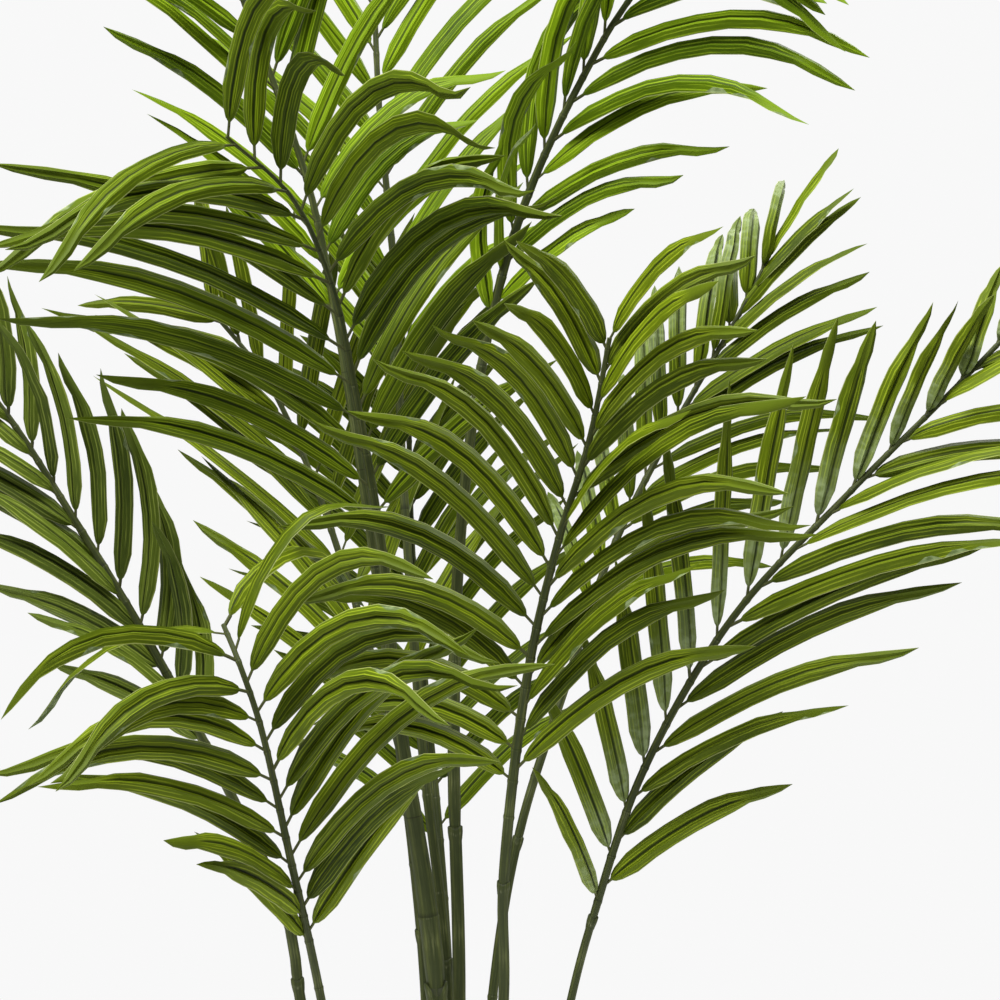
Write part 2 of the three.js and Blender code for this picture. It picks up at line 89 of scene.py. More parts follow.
class Wire:
    """A value in a node tree. Python's operators on it add Math nodes."""

    def __init__(self, board: "Board", socket: bpy.types.NodeSocket) -> None:
        """Wraps an output socket of a board's tree."""
        self.board = board
        self.socket = socket

    def __add__(self, other: Number) -> "Wire":
        """The sum."""
        return self.board.maths("ADD", self, other)

    __radd__ = __add__

    def __sub__(self, other: Number) -> "Wire":
        """The difference."""
        return self.board.maths("SUBTRACT", self, other)

    def __rsub__(self, other: Number) -> "Wire":
        """A number less this value."""
        return self.board.maths("SUBTRACT", other, self)

    def __mul__(self, other: Number) -> "Wire":
        """The product."""
        return self.board.maths("MULTIPLY", self, other)

    __rmul__ = __mul__

    def __abs__(self) -> "Wire":
        """This value without its sign."""
        return self.board.maths("ABSOLUTE", self)

    def __gt__(self, other: Number) -> "Wire":
        """1 where this value is the larger, and 0 elsewhere."""
        return self.board.maths("GREATER_THAN", self, other)

    def floor(self) -> "Wire":
        """This value rounded down."""
        return self.board.maths("FLOOR", self)

    def wave(self, cycles: float) -> "Wire":
        """A wave from 0 to 1 with this many cycles in each unit."""
        return self.board.maths("SINE", self * (2 * math.pi * cycles)) * 0.5 + 0.5

    def rise(self, low: float, high: float) -> "Wire":
        """0 below low, 1 above high, and smooth between them."""
        settings = {"interpolation_type": "SMOOTHSTEP"}
        sockets = {"Value": self, "From Min": low, "From Max": high}
        return self.board.read(self.board.add("ShaderNodeMapRange", settings, sockets))

    def fall(self, low: float, high: float) -> "Wire":
        """1 below low, 0 above high, and smooth between them."""
        return 1 - self.rise(low, high)


class Board:
    """A node tree that a finish is laid out on."""

    def __init__(self, tree: bpy.types.NodeTree) -> None:
        """Clears the tree."""
        self.tree = tree
        tree.nodes.clear()

    def add(self, kind: str, settings: dict[str, object] | None = None,
            sockets: dict[str, object] | None = None) -> bpy.types.Node:
        """Adds a node.

        Args:
            kind: The node's type.
            settings: What is set first, such as an operation.
            sockets: A value or a Wire for each socket, by its name or identifier.

        Returns:
            The node.
        """
        node = self.tree.nodes.new(kind)
        for key, value in (settings or {}).items():
            setattr(node, key, value)
        for key, value in (sockets or {}).items():
            self._plug(self._socket(node.inputs, key), value)
        return node

    def read(self, node: bpy.types.Node, output: str = "") -> Wire:
        """A node's output, by name, or its first one in use."""
        if output:
            return Wire(self, self._socket(node.outputs, output))
        return Wire(self, next(socket for socket in node.outputs if socket.enabled))

    def maths(self, operation: str, *values: Number) -> Wire:
        """The result of a Math node on these values."""
        node = self.add("ShaderNodeMath", {"operation": operation})
        for socket, value in zip(node.inputs, values):
            self._plug(socket, value)
        return self.read(node)

    def blend(self, share: Number, first: Wire | Colour, second: Wire | Colour) -> Wire:
        """A colour between two others.

        Args:
            share: 0 for the first colour and 1 for the second.
            first: A colour.
            second: Another colour.

        Returns:
            The blended colour.
        """
        sockets = {"Factor_Float": share, "A_Color": first, "B_Color": second}
        return self.read(self.add("ShaderNodeMix", {"data_type": "RGBA"}, sockets))

    def point(self, x: Number, y: Number, z: Number) -> Wire:
        """A vector from three numbers."""
        return self.read(self.add("ShaderNodeCombineXYZ", None, {"X": x, "Y": y, "Z": z}))

    def split(self, vector: Wire) -> tuple[Wire, Wire, Wire]:
        """A vector's three numbers."""
        node = self.add("ShaderNodeSeparateXYZ", None, {"Vector": vector})
        return self.read(node, "X"), self.read(node, "Y"), self.read(node, "Z")

    def noise(self, at: Wire, scale: float, detail: float = 2.0, roughness: float = 0.5) -> Wire:
        """Smooth noise about 0.5 at a point."""
        sockets = {"Vector": at, "Scale": scale, "Detail": detail, "Roughness": roughness}
        return self.read(self.add("ShaderNodeTexNoise", None, sockets))

    def own_number(self, number: Wire) -> Wire:
        """A number from 0 to 1 that belongs to a whole number."""
        inside = 0.37  # keeps clear of the whole numbers, where a rounding error would change the draw
        node = self.add("ShaderNodeTexWhiteNoise", {"noise_dimensions": "1D"}, {"W": number + inside})
        return self.read(node, "Value")

    def object_place(self) -> Wire:
        """The place on the piece, in metres."""
        return self.read(self.add("ShaderNodeTexCoord"), "Object")

    def map_place(self, name: str) -> Wire:
        """The place on the piece's own UV map."""
        return self.read(self.add("ShaderNodeUVMap", {"uv_map": name}))

    def bump(self, height: Wire, depth: float, strength: float = 1.0) -> Wire:
        """A normal from a height.

        Args:
            height: The height, in units of the depth.
            depth: What a height of 1 stands for, in metres.
            strength: How much of the bump shows.

        Returns:
            The normal.
        """
        sockets = {"Height": height, "Distance": depth, "Strength": strength}
        return self.read(self.add("ShaderNodeBump", None, sockets))

    def surface(self, colour: Wire, roughness: Number, normal: Wire, **constants: float) -> None:
        """Ends the tree in one surface shader.

        Args:
            colour: Its base colour.
            roughness: Its roughness.
            normal: Its bumped normal.
            constants: Values that are the same all over, by socket name with _ for a space.
        """
        sockets = {"Base Color": colour, "Roughness": roughness, "Normal": normal}
        sockets.update({key.replace("_", " "): value for key, value in constants.items()})
        shader = self.add("ShaderNodeBsdfPrincipled", None, sockets)
        self.add("ShaderNodeOutputMaterial", None, {"Surface": self.read(shader)})

    def _plug(self, socket: bpy.types.NodeSocket, value: object) -> None:
        """Links a Wire to a socket, or sets a plain value on it."""
        if isinstance(value, Wire):
            self.tree.links.new(value.socket, socket)
        else:
            socket.default_value = value

    @staticmethod
    def _socket(sockets: Iterable[bpy.types.NodeSocket], key: str) -> bpy.types.NodeSocket:
        """The socket with this identifier, or the first one in use with this name."""
        found = [socket for socket in sockets if socket.identifier == key]
        return (found + [socket for socket in sockets if socket.name == key and socket.enabled])[0]


# ---- Finishes ----


class Finish:
    """What a piece is covered in."""

    def make(self, name: str) -> bpy.types.Material:
        """The finish as a material.

        Args:
            name: The material's name.

        Returns:
            The material.
        """
        material = bpy.data.materials.new(name)
        material.use_nodes = True
        self.lay_out(Board(material.node_tree))
        return material

    def lay_out(self, board: Board) -> None:
        """Lays the finish out on a board."""
        raise NotImplementedError


class Tone(Enum):
    """How dark and how yellow a frond's printed leaflets are, and where the pale ones carry a painted grey
    sheen.
    """

    DEEP = "deep"
    OLIVE = "olive"
    FRESH = "fresh"
    DUSTY = "dusty"
    PALE_FOOT = "pale_foot"
    PALE_TIP = "pale_tip"


@dataclass(frozen=True)
class LeafFinish(Finish):
    """Printed cloth leaflets: fine yellow-green stripes on olive above, pale grey-green below, and dark print
    with painted shade in the midrib groove.
    """

    dark: Colour
    olive: Colour
    stripe: Colour
    tip: Colour
    # The midrib groove's dark colour: partly dark print and partly painted shade.
    groove_print_and_shade: Colour = srgb(7, 17, 5)
    below: Colour = srgb(78, 92, 52)
    below_pale: Colour = srgb(134, 148, 104)
    below_rib: Colour = srgb(34, 58, 56)
    cut_edge: Colour = srgb(176, 180, 120)
    stalk: Colour = srgb(72, 76, 44)
    stripes: float = 4.6  # in each half of a leaflet's width
    painted_sheen: float = 0.0  # how much painted grey sheen the left leaflets have
    painted_sheen_from: float = 0.0  # where along them it begins
    painted_sheen_to: float = 1.0  # and where it is full
    stalk_ends: Pair = (0.045, 0.07)  # these are shares of a leaflet's length
    print_begins: Pair = (0.06, 0.13)
    print_ends: Pair = (0.74, 0.84)
    groove_begins: Pair = (0.05, 0.09)
    groove_ends: Pair = (0.72, 0.8)
    groove: Pair = (0.02, 0.2)  # and these are shares of its half width
    groove_bank: tuple[Pair, Pair] = ((0.12, 0.18), (0.2, 0.28))
    edge: Pair = (0.94, 0.99)

    def lay_out(self, board: Board) -> None:
        """Lays the finish out on a board."""
        along_all, across_all, _ = board.split(board.map_place(LEAF_MAP))
        number = (along_all * (1 / LEAF_PITCH)).floor()
        along = along_all - number * LEAF_PITCH
        below = across_all > UNDERSIDE - 0.5
        across = (across_all - below * UNDERSIDE) * 2 - 1
        out = abs(across)
        own = board.own_number(number)

        drift = board.noise(board.point(along * 4, across * 0.9, number * 3.1), 1.0) - 0.5
        lines = (across + drift * 0.24 + own * 0.3).wave(self.stripes).rise(0.66, 1.0)
        shown = board.noise(board.point(along * 5, across * 5.2, number * 5.7), 1.0, 3.0).rise(0.36, 0.56)
        fine = board.noise(board.point(along * 14, across * 30, number * 1.9), 1.0, 3.0, 0.6)
        blotch = board.noise(board.point(along * 26, across * 1.1, number * 4.3), 1.0, 2.0).rise(0.42, 0.7)
        weave = board.noise(board.point(along * 420, across * 34, number), 1.0, 1.0)
        cloud = board.noise(board.object_place(), 14.0, 3.0)

        plain = along.rise(*self.print_ends)
        body = along.rise(*self.print_begins) * (1 - plain)
        stripe = lines * shown * body
        length = along.rise(*self.groove_begins) * along.fall(*self.groove_ends)
        groove = out.fall(*self.groove) * length
        beside = out.rise(*self.groove_bank[0]) * out.fall(*self.groove_bank[1]) * body

        depth = (fine * 0.45 + cloud * 0.45 + own * 0.4 - 0.2).rise(0.0, 0.75)
        colour = board.blend(depth, self.dark, self.olive)
        colour = board.blend(stripe * (0.35 + own * 0.4), colour, self.stripe)
        colour = board.blend(beside * 0.22, colour, self.stripe)
        # Painted sheen: a blotchy pale grey sheen painted over the left leaflets, fading in along their
        # length.
        if self.painted_sheen:
            left = 1 - (number - (number * 0.5).floor() * 2)
            painted_sheen = along.rise(self.painted_sheen_from, self.painted_sheen_to) * left * self.painted_sheen
            colour = board.blend(painted_sheen * (0.35 + blotch * 0.5), colour, self.below_pale)
        # Painted shade: the midrib groove is darkened, partly as its dark print and partly for the shade that
        # falls in it.
        colour = board.blend(groove * (0.45 + own * 0.5), colour, self.groove_print_and_shade)
        colour = board.blend(plain * 0.7, colour, self.tip)

        lower = board.blend(blotch * 0.6 + lines * 0.3, self.below, self.below_pale)
        lower = board.blend(groove * 0.9, lower, self.below_rib)
        colour = board.blend(below, colour, lower)
        colour = board.blend(out.rise(*self.edge) * 0.5, colour, self.cut_edge)
        colour = board.blend(along.fall(*self.stalk_ends), colour, self.stalk)

        height = stripe * 0.2 - groove + fine * 0.25 + weave * 0.2
        roughness = 0.45 + fine * 0.16 + below * 0.14
        board.surface(colour, roughness, board.bump(height, 0.0006, 0.6), Specular_IOR_Level=0.09)


LEAF_FINISHES = {
    Tone.DEEP: LeafFinish(srgb(22, 36, 0), srgb(80, 98, 4), srgb(140, 160, 34), srgb(72, 86, 12)),
    Tone.OLIVE: LeafFinish(srgb(24, 38, 0), srgb(88, 104, 8), srgb(148, 164, 38), srgb(78, 92, 16)),
    Tone.FRESH: LeafFinish(srgb(32, 54, 0), srgb(104, 130, 8), srgb(162, 188, 42), srgb(102, 126, 16)),
    Tone.DUSTY: LeafFinish(srgb(30, 42, 8), srgb(88, 104, 30), srgb(144, 158, 66), srgb(84, 98, 36)),
    # The pale tones carry a painted grey sheen on their left leaflets, towards the foot or towards the tip.
    Tone.PALE_FOOT: LeafFinish(srgb(24, 38, 0), srgb(88, 104, 8), srgb(148, 164, 38), srgb(78, 92, 16),
                               painted_sheen=1.0, painted_sheen_from=0.5, painted_sheen_to=0.12),
    Tone.PALE_TIP: LeafFinish(srgb(24, 38, 0), srgb(88, 106, 8), srgb(148, 166, 38), srgb(78, 94, 16),
                              painted_sheen=1.0, painted_sheen_from=0.25, painted_sheen_to=0.6),
}


@dataclass(frozen=True)
class StemFinish(Finish):
    """Moulded green plastic with fine lengthwise fibres, pale rings at its joints, painted shade in a band
    down its front and a painted shadow beside each joint.
    """

    dark: Colour = srgb(38, 46, 18)
    green: Colour = srgb(88, 95, 48)
    pale: Colour = srgb(128, 132, 86)
    foot: Colour = srgb(92, 86, 48)
    joint_shadow: Colour = srgb(14, 18, 6)
    ring: Colour = srgb(150, 152, 118)

    def lay_out(self, board: Board) -> None:
        """Lays the finish out on a board."""
        along, around, _ = board.split(board.map_place(STEM_MAP))
        turn = board.point(around.wave(1.0) * 3, (around + 0.25).wave(1.0) * 3, along * 9)
        fibre = board.noise(turn, 3.2, 4.0, 0.65)
        patch = board.noise(board.point(around.wave(1.0), 0.0, along * 22), 1.0, 3.0)
        # Painted shade: a dark band down the front of every stem and rachis, where the thick stems have their
        # channel.
        channel_shade = abs(around - 0.25).fall(0.05, 0.1)
        colour = board.blend((fibre * 0.75 + patch * 0.4 - 0.08).rise(0.25, 0.75), self.dark, self.green)
        colour = board.blend(channel_shade * 0.7, colour, self.dark)
        colour = board.blend((patch * fibre).rise(0.28, 0.5) * 0.45, colour, self.pale)
        _, _, up = board.split(board.object_place())
        colour = board.blend(up.fall(0.16, 0.32) * 0.5, colour, self.foot)
        mark = board.read(board.add("ShaderNodeAttribute", {"attribute_name": JOINT_MARK}), "Fac")
        colour = board.blend(mark.rise(0.5, 1.0) * fibre.rise(0.45, 0.7) * 0.35, colour, self.ring)
        # Painted shadow: the crease beyond each joint's swell and above the collar's lip is darkened.
        colour = board.blend((mark * -1).rise(0.6, 1.0) * 0.6, colour, self.joint_shadow)
        height = fibre * 0.6 + patch * 0.5
        board.surface(colour, 0.5 + fibre * 0.2, board.bump(height, 0.0007, 0.6), Specular_IOR_Level=0.2)


@dataclass(frozen=True)
class PotFinish(Finish):
    """Charcoal moulded plastic, a little scuffed and dusty towards the foot."""

    charcoal: Colour = srgb(40, 41, 43)
    worn: Colour = srgb(70, 70, 70)
    dust: Colour = srgb(120, 112, 98)

    def lay_out(self, board: Board) -> None:
        """Lays the finish out on a board."""
        place = board.object_place()
        _, _, up = board.split(place)
        grain = board.noise(place, 900.0, 2.0)
        haze = board.noise(place, 9.0, 4.0, 0.6)
        scuff = board.noise(board.read(board.add("ShaderNodeMapping", None, {
            "Vector": place, "Scale": (1.0, 1.0, 7.0)})), 26.0, 5.0, 0.7).rise(0.6, 0.78)
        colour = board.blend(haze.rise(0.35, 0.75) * 0.35 + scuff * 0.3, self.charcoal, self.worn)
        colour = board.blend(up.fall(0.0, 0.05) * haze.rise(0.4, 0.7) * 0.35, colour, self.dust)
        roughness = 0.42 + haze * 0.2 + scuff * 0.12
        normal = board.bump(grain * 0.6 + scuff * -0.4, 0.0003, 0.5)
        board.surface(colour, roughness, normal, Specular_IOR_Level=0.5)


@dataclass(frozen=True)
class CementFinish(Finish):
    """Rough pale cement that the stems are set in."""

    pale: Colour = srgb(158, 152, 140)
    dark: Colour = srgb(108, 102, 92)

    def lay_out(self, board: Board) -> None:
        """Lays the finish out on a board."""
        place = board.object_place()
        sand = board.noise(place, 420.0, 4.0, 0.7)
        stain = board.noise(place, 22.0, 3.0)
        colour = board.blend((sand * 0.6 + stain * 0.6 - 0.1).rise(0.3, 0.7), self.dark, self.pale)
        board.surface(colour, 0.86 + sand * 0.1, board.bump(sand, 0.0012, 0.8), Specular_IOR_Level=0.3)


@dataclass(frozen=True)
class MossFinish(Finish):
    """Dried moss, brown in its hollows and yellow-green on its tufts."""

    hollow: Colour = srgb(46, 38, 20)
    green: Colour = srgb(92, 94, 40)
    tuft: Colour = srgb(142, 138, 72)

    def lay_out(self, board: Board) -> None:
        """Lays the finish out on a board."""
        place = board.object_place()
        fuzz = board.noise(place, 520.0, 4.0, 0.7)
        clump = board.noise(place, 60.0, 3.0)
        colour = board.blend((clump * 0.7 + fuzz * 0.5 - 0.12).rise(0.25, 0.62), self.hollow, self.green)
        colour = board.blend((clump * fuzz).rise(0.26, 0.42) * 0.75, colour, self.tuft)
        height = fuzz * 0.8 + clump
        board.surface(colour, 0.84 + fuzz * 0.12, board.bump(height, 0.0025, 0.9), Specular_IOR_Level=0.2)


@dataclass(frozen=True)
class FloorFinish(Finish):
    """A pale matt studio floor."""

    pale: Colour = srgb(238, 238, 238)
    shade: Colour = srgb(228, 228, 228)

    def lay_out(self, board: Board) -> None:
        """Lays the finish out on a board."""
        cloud = board.noise(board.object_place(), 1.6, 2.0)
        colour = board.blend(cloud, self.pale, self.shade)
        board.surface(colour, 0.9, board.bump(cloud, 0.0002, 0.2), Specular_IOR_Level=0.1)


# ---- Modelling ----


class Bench:
    """Modelling by hand: one object at a time, with its parts picked by their place."""

    @staticmethod
    def clear() -> None:
        """Deselects every object."""
        if bpy.context.object and bpy.context.object.mode != "OBJECT":
            bpy.ops.object.mode_set(mode="OBJECT")
        bpy.ops.object.select_all(action="DESELECT")

    @staticmethod
    def take(obj: bpy.types.Object) -> None:
        """Selects one object alone and makes it the active one."""
        Bench.clear()
        obj.select_set(True)
        bpy.context.view_layer.objects.active = obj

    @staticmethod
    def new(add: Callable[..., object], **sizes: object) -> bpy.types.Object:
        """Adds a primitive at its size and place.

        Args:
            add: The primitive's operator.
            sizes: What the operator is given.

        Returns:
            The new object, with its place already in its mesh.
        """
        Bench.clear()
        add(**sizes)
        obj = bpy.context.object
        bpy.ops.object.transform_apply(location=True, rotation=True, scale=True)
        return obj

    @staticmethod
    def pick(obj: bpy.types.Object, test: Callable[[Vector], bool]) -> None:
        """Selects, in edit mode, the vertices whose place passes a test, and what lies between them."""
        shape = bmesh.from_edit_mesh(obj.data)
        for part in (*shape.verts, *shape.edges, *shape.faces):
            part.select = False
        for vertex in shape.verts:
            if test(vertex.co):
                vertex.select = True
        shape.select_flush_mode()
        bmesh.update_edit_mesh(obj.data)

    @staticmethod
    def pick_edges(obj: bpy.types.Object, test: Callable[[Vector, Vector], bool]) -> None:
        """Selects, in edit mode, only the edges whose two ends pass a test."""
        bpy.ops.mesh.select_mode(type="EDGE")
        shape = bmesh.from_edit_mesh(obj.data)
        for part in (*shape.verts, *shape.edges, *shape.faces):
            part.select = False
        for edge in shape.edges:
            if test(edge.verts[0].co, edge.verts[1].co):
                edge.select = True
        bmesh.update_edit_mesh(obj.data)

    @staticmethod
    def edit(obj: bpy.types.Object) -> None:
        """Enters edit mode on one object, with its vertices as what is picked."""
        Bench.take(obj)
        bpy.ops.object.mode_set(mode="EDIT")
        bpy.ops.mesh.select_mode(type="VERT")

    @staticmethod
    def places(obj: bpy.types.Object) -> np.ndarray:
        """The places of an object's vertices, one row each."""
        places = np.empty(len(obj.data.vertices) * 3)
        obj.data.vertices.foreach_get("co", places)
        return places.reshape(-1, 3)

    @staticmethod
    def done() -> None:
        """Leaves edit mode."""
        bpy.ops.object.mode_set(mode="OBJECT")

    @staticmethod
    def modify(obj: bpy.types.Object, kind: str, **settings: object) -> None:
        """Adds a modifier and applies it.

        Args:
            obj: The object.
            kind: The modifier's type.
            settings: What is set on the modifier.
        """
        Bench.take(obj)
        modifier = obj.modifiers.new(kind.lower(), kind)
        for key, value in settings.items():
            setattr(modifier, key, value)
        bpy.ops.object.modifier_apply(modifier=modifier.name)

    @staticmethod
    def smooth(obj: bpy.types.Object, degrees: float) -> None:
        """Shades a piece smooth, except over edges sharper than an angle."""
        Bench.take(obj)
        bpy.ops.object.shade_smooth_by_angle(angle=math.radians(degrees))

    @staticmethod
    def join(parts: Sequence[bpy.types.Object], name: str) -> bpy.types.Object:
        """Joins objects into one.

        Args:
            parts: The objects, each with its own mesh.
            name: The joined object's name.

        Returns:
            The joined object.
        """
        Bench.clear()
        for part in parts:
            part.select_set(True)
        bpy.context.view_layer.objects.active = parts[0]
        bpy.ops.object.join()
        joined = bpy.context.object
        joined.name = joined.data.name = name
        return joined


def hand_over(piece: bpy.types.Object, material: bpy.types.Material, slot: str,
              *nodes: str) -> bpy.types.Object:
    """Gives a finished piece its finish, its body and the CAD nodes that it stands for.

    Args:
        piece: The piece.
        material: Its material.
        slot: The record's material slot. It is not used.
        nodes: The CAD nodes that it replaces.

    Returns:
        The piece.
    """
    piece.data.materials.clear()
    piece.data.materials.append(material)
    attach(piece, BODY)
    if nodes:
        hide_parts(*nodes)
    log.info("%s: %d faces", piece.name, len(piece.data.polygons))
    return piece


# ---- How the palm grows: the same sizes and the same growth as its solids ----

FILLER_TOP = 146.0  # above the pot's foot
STEM_BOTTOM = 76.0
STEM_UPRIGHT = 60.0  # a stem stands nearly upright this far above the filler
STEM_LEAN = 0.1  # and leans by this share of its way to the midline's first point
STEM_TAPER = 0.88
STEM_RINGS = 7
STEM_SIDES = 8
SPIGOT_SHARE = 0.6
SOCKET_DEPTH = 24.0
GAP = 0.3
RACHIS_RINGS = 24
RACHIS_TIP = 2.0
RACHIS_TAPER = 1.4
LEAFLET_WIDTH = 19.0
NECK_WIDTH = 3.0
SHOULDER: Pair = (0.05, 0.1)  # where a leaflet widens from its neck, and over how much of its length
POINT_SHARE = 0.38  # how much of a leaflet's length narrows to its point
POINT_POWER = 0.75
STEPS = 16  # in a leaflet's curve
LONGEST_AT = 0.4  # the longest leaflets grow this far along a frond's leafy part
STAGGER = 0.3  # how far a right leaflet grows beyond the left one of its pair, in pairs
CURL_FROM = 0.65  # the share of a leaflet's length beyond which its tip rolls over
FLICK_FROM = 0.8  # and beyond which it bends back
BENDING: Pair = (0.4, 1.2)  # the share of its bend at a leaflet's neck, and what its tip adds
DRAWS = 8  # a leaflet's own chances
SHARES = (1, 0.8, 0.62, 0.45)  # how much of its length a crowded leaflet tries
TURNS = (0, 1, -1, 2, -2, 3, -3, 4, -4)  # and how many turns up it tries, of so many degrees
TURN = 8.0
CLEARANCE = 8.0
DOWN = (0.0, 0.0, -1.0)


@dataclass(frozen=True)
class Chances:
    """How far chance takes a leaflet from its frond's habit: shares, and degrees for the angles."""

    length: float = 0.06
    splay: float = 4
    lift: float = 4
    bend: float = 0.18
    roll: float = 8
    twist: float = 18
    curl: float = 55
    flick: float = 0.9


CHANCES = Chances()


def unit(vector: np.ndarray) -> np.ndarray:
    """A vector's direction."""
    return vector / math.sqrt(float(vector @ vector))


def mix(first: float, second: float, share: float) -> float:
    """A number between two others."""
    return (1 - share) * first + share * second


def ease(share: float) -> float:
    """A share that starts and ends gently."""
    return share * share * (3 - 2 * share)


def chance(frond: int, leaflet: int, channel: int) -> float:
    """A repeatable number from -1 to 1 for one leaflet of one frond."""
    mixed = math.sin(frond * 12.9898 + leaflet * 78.233 + channel * 37.719) * 43758.5453
    return 2 * (mixed - math.floor(mixed)) - 1


@dataclass(frozen=True)
class Habit:
    """How the leaflets on one side of a frond grow, from its bottom to its tip."""

    splay: Pair  # their angle to the rachis, in degrees
    bend: Pair  # how far they bend over in all, in radians
    roll: Pair  # how far their upper sides turn towards the frond's tip, in degrees
    reach: Pair = (1.0, 1.0)  # their length, as a share of the frond's
    wild: float = 1.0  # how unlike each other they are
    pull: Point = DOWN  # the way they bend


@dataclass(frozen=True)
class FrondPlan:
    """One frond: where its stem stands, its branch's midline and its leaflets' sizes, in millimetres."""

    name: str
    foot: tuple[float, float]
    stem_radius: float
    collar: float
    leaf_from: float
    pairs: int
    midline: tuple[Point, ...]
    lengths: Point
    face: Point
    lift: float
    left: Habit
    right: Habit
    tone: Tone


PLANS = (
    FrondPlan("right_front", (20, -26), 5.4, 700, 790, 15,
              ((60, -60, 590), (60, -90, 700), (80, -130, 880), (105, -175, 995), (130, -210, 1080),
               (145, -235, 1160)),
              (185, 250, 120), (-0.2, -1, 0.1), 12,
              Habit((60, 30), (1.5, 1.4), (30, 30), (1, 1.05)),
              Habit((32, 18), (1.1, 1.2), (30, 30), (1.3, 1.2), 1.3), Tone.OLIVE),
    FrondPlan("left_low", (-26, -34), 4.4, 560, 660, 12,
              ((-95, -120, 605), (-115, -190, 735), (-135, -240, 850), (-150, -255, 900),
               (-165, -235, 930)),
              (174, 244, 172), (0.1, -1, 0.2), 10,
              Habit((26, 52), (0.3, 2.4), (35, 35), (0.95, 1.15), 1.2),
              Habit((36, 42), (0.5, 3.2), (30, 30), (1.3, 1.05), 1.4), Tone.OLIVE),
    FrondPlan("left_tall", (0, -22), 10.5, 600, 1010, 13,
              ((1, -25, 585), (-35, -40, 855), (-45, -55, 975), (-70, -95, 1135), (-85, -125, 1210),
               (-115, -170, 1280), (-165, -215, 1325)),
              (245, 300, 230), (0.1, -1, 0.2), 8,
              Habit((44, 40), (0.8, 1.1), (30, 30), (1.14, 1.14), 1.3),
              Habit((40, 50), (0.9, 2.9), (30, 30), (0.85, 0.95), 2.2, (0.3, -0.5, -0.8)), Tone.DEEP),
    FrondPlan("right_low", (40, -8), 4.2, 665, 680, 15,
              ((120, -40, 590), (140, -60, 670), (180, -90, 795), (255, -120, 930), (350, -140, 1035),
               (435, -145, 1120), (485, -140, 1170)),
              (170, 265, 130), (0.2, -1, 0.3), 8,
              Habit((36, 26), (0.5, 0.7), (25, 35), (0.95, 0.8), 1.2),
              Habit((28, 20), (0.7, 0.7), (35, 35), (1.06, 1.1), 1.3), Tone.PALE_FOOT),
    FrondPlan("left_side", (-38, -8), 5.6, 605, 815, 13,
              ((-120, -30, 585), (-130, -35, 655), (-180, -45, 770), (-250, -60, 905), (-315, -70, 1015),
               (-375, -80, 1110), (-440, -95, 1185)),
              (165, 205, 130), (0, -1, 0.2), 8,
              Habit((20, 20), (0.7, 0.7), (30, 30), (1, 1), 1.4, (-0.8, -0.2, -0.5)),
              Habit((40, 38), (0.8, 0.8), (30, 30), (0.95, 0.95), 1.3, (-0.9, -0.2, -0.2)), Tone.DUSTY),
    FrondPlan("top_right", (8, 4), 6.6, 733, 1195, 12,
              ((20, 10, 580), (15, 20, 805), (20, 25, 985), (40, 20, 1150), (75, 5, 1285), (125, -25, 1395),
               (180, -60, 1480), (260, -110, 1540)),
              (150, 265, 160), (0.1, -1, 0.3), 12,
              Habit((24, 26), (1.6, 2.4), (30, 30), (1.1, 1.1), 1.6, (0.7, -0.3, -0.7)),
              Habit((32, 34), (0.9, 2.1), (30, 30), (1, 1.05), 1.4), Tone.FRESH),
    FrondPlan("right_back", (30, 14), 4.8, 720, 930, 12,
              ((50, 0, 580), (75, 45, 725), (120, 90, 860), (165, 130, 985), (225, 165, 1100),
               (290, 190, 1210), (320, 200, 1265)),
              (190, 250, 150), (0.1, -1, 0.2), 8,
              Habit((34, 28), (1.7, 2.2), (15, 15), (0.85, 0.95), 1.2, (0.1, 0.9, -0.5)),
              Habit((42, 6), (1, 0.3), (35, 35), (1, 1), 1.3), Tone.PALE_TIP),
    FrondPlan("top_left", (-14, 8), 5.4, 640, 1200, 12,
              ((-10, 15, 575), (-50, 25, 920), (-90, 20, 1185), (-115, 10, 1310), (-150, -5, 1415),
               (-195, -30, 1525), (-265, -70, 1615)),
              (200, 265, 140), (0.2, -1, 0.3), 10,
              Habit((32, 36), (0.4, 1.4), (25, 25), (1, 1), 1.6),
              Habit((40, 34), (1.6, 1.8), (15, 15), (1, 1), 1.6), Tone.FRESH),
    FrondPlan("left_back", (-24, 34), 5, 620, 820, 12,
              ((-5, 45, 570), (-30, 95, 765), (-60, 125, 865), (-90, 150, 955), (-125, 175, 1050),
               (-170, 195, 1145), (-225, 205, 1215)),
              (240, 290, 150), (0, -1, 0.2), 6,
              Habit((26, 30), (0.4, 0.5), (25, 25), (1, 1), 1.3),
              Habit((40, 32), (0.7, 0.8), (20, 20), (1, 1), 1.3), Tone.OLIVE),
    FrondPlan("top_centre", (2, 30), 5.4, 610, 1150, 13,
              ((10, 30, 575), (-15, 70, 800), (-35, 120, 1050), (-45, 150, 1250), (-60, 165, 1410),
               (-70, 175, 1575), (-95, 180, 1700)),
              (210, 260, 120), (0, -1, 0), 8,
              Habit((38, 26), (0.6, 0.7), (20, 20), (1, 1), 1.4),
              Habit((38, 26), (0.9, 0.8), (20, 20), (1, 1), 1.4), Tone.FRESH),
    FrondPlan("back", (24, 38), 5, 600, 705, 14,
              ((10, 70, 565), (0, 130, 695), (-15, 185, 835), (-30, 235, 970), (-35, 270, 1100),
               (-35, 290, 1225)),
              (190, 240, 120), (0, -1, 0), 6,
              Habit((44, 28), (0.6, 0.8), (20, 20), (1, 1), 1.2),
              Habit((44, 28), (0.8, 0.8), (20, 20), (1, 1), 1.2), Tone.DEEP),
)


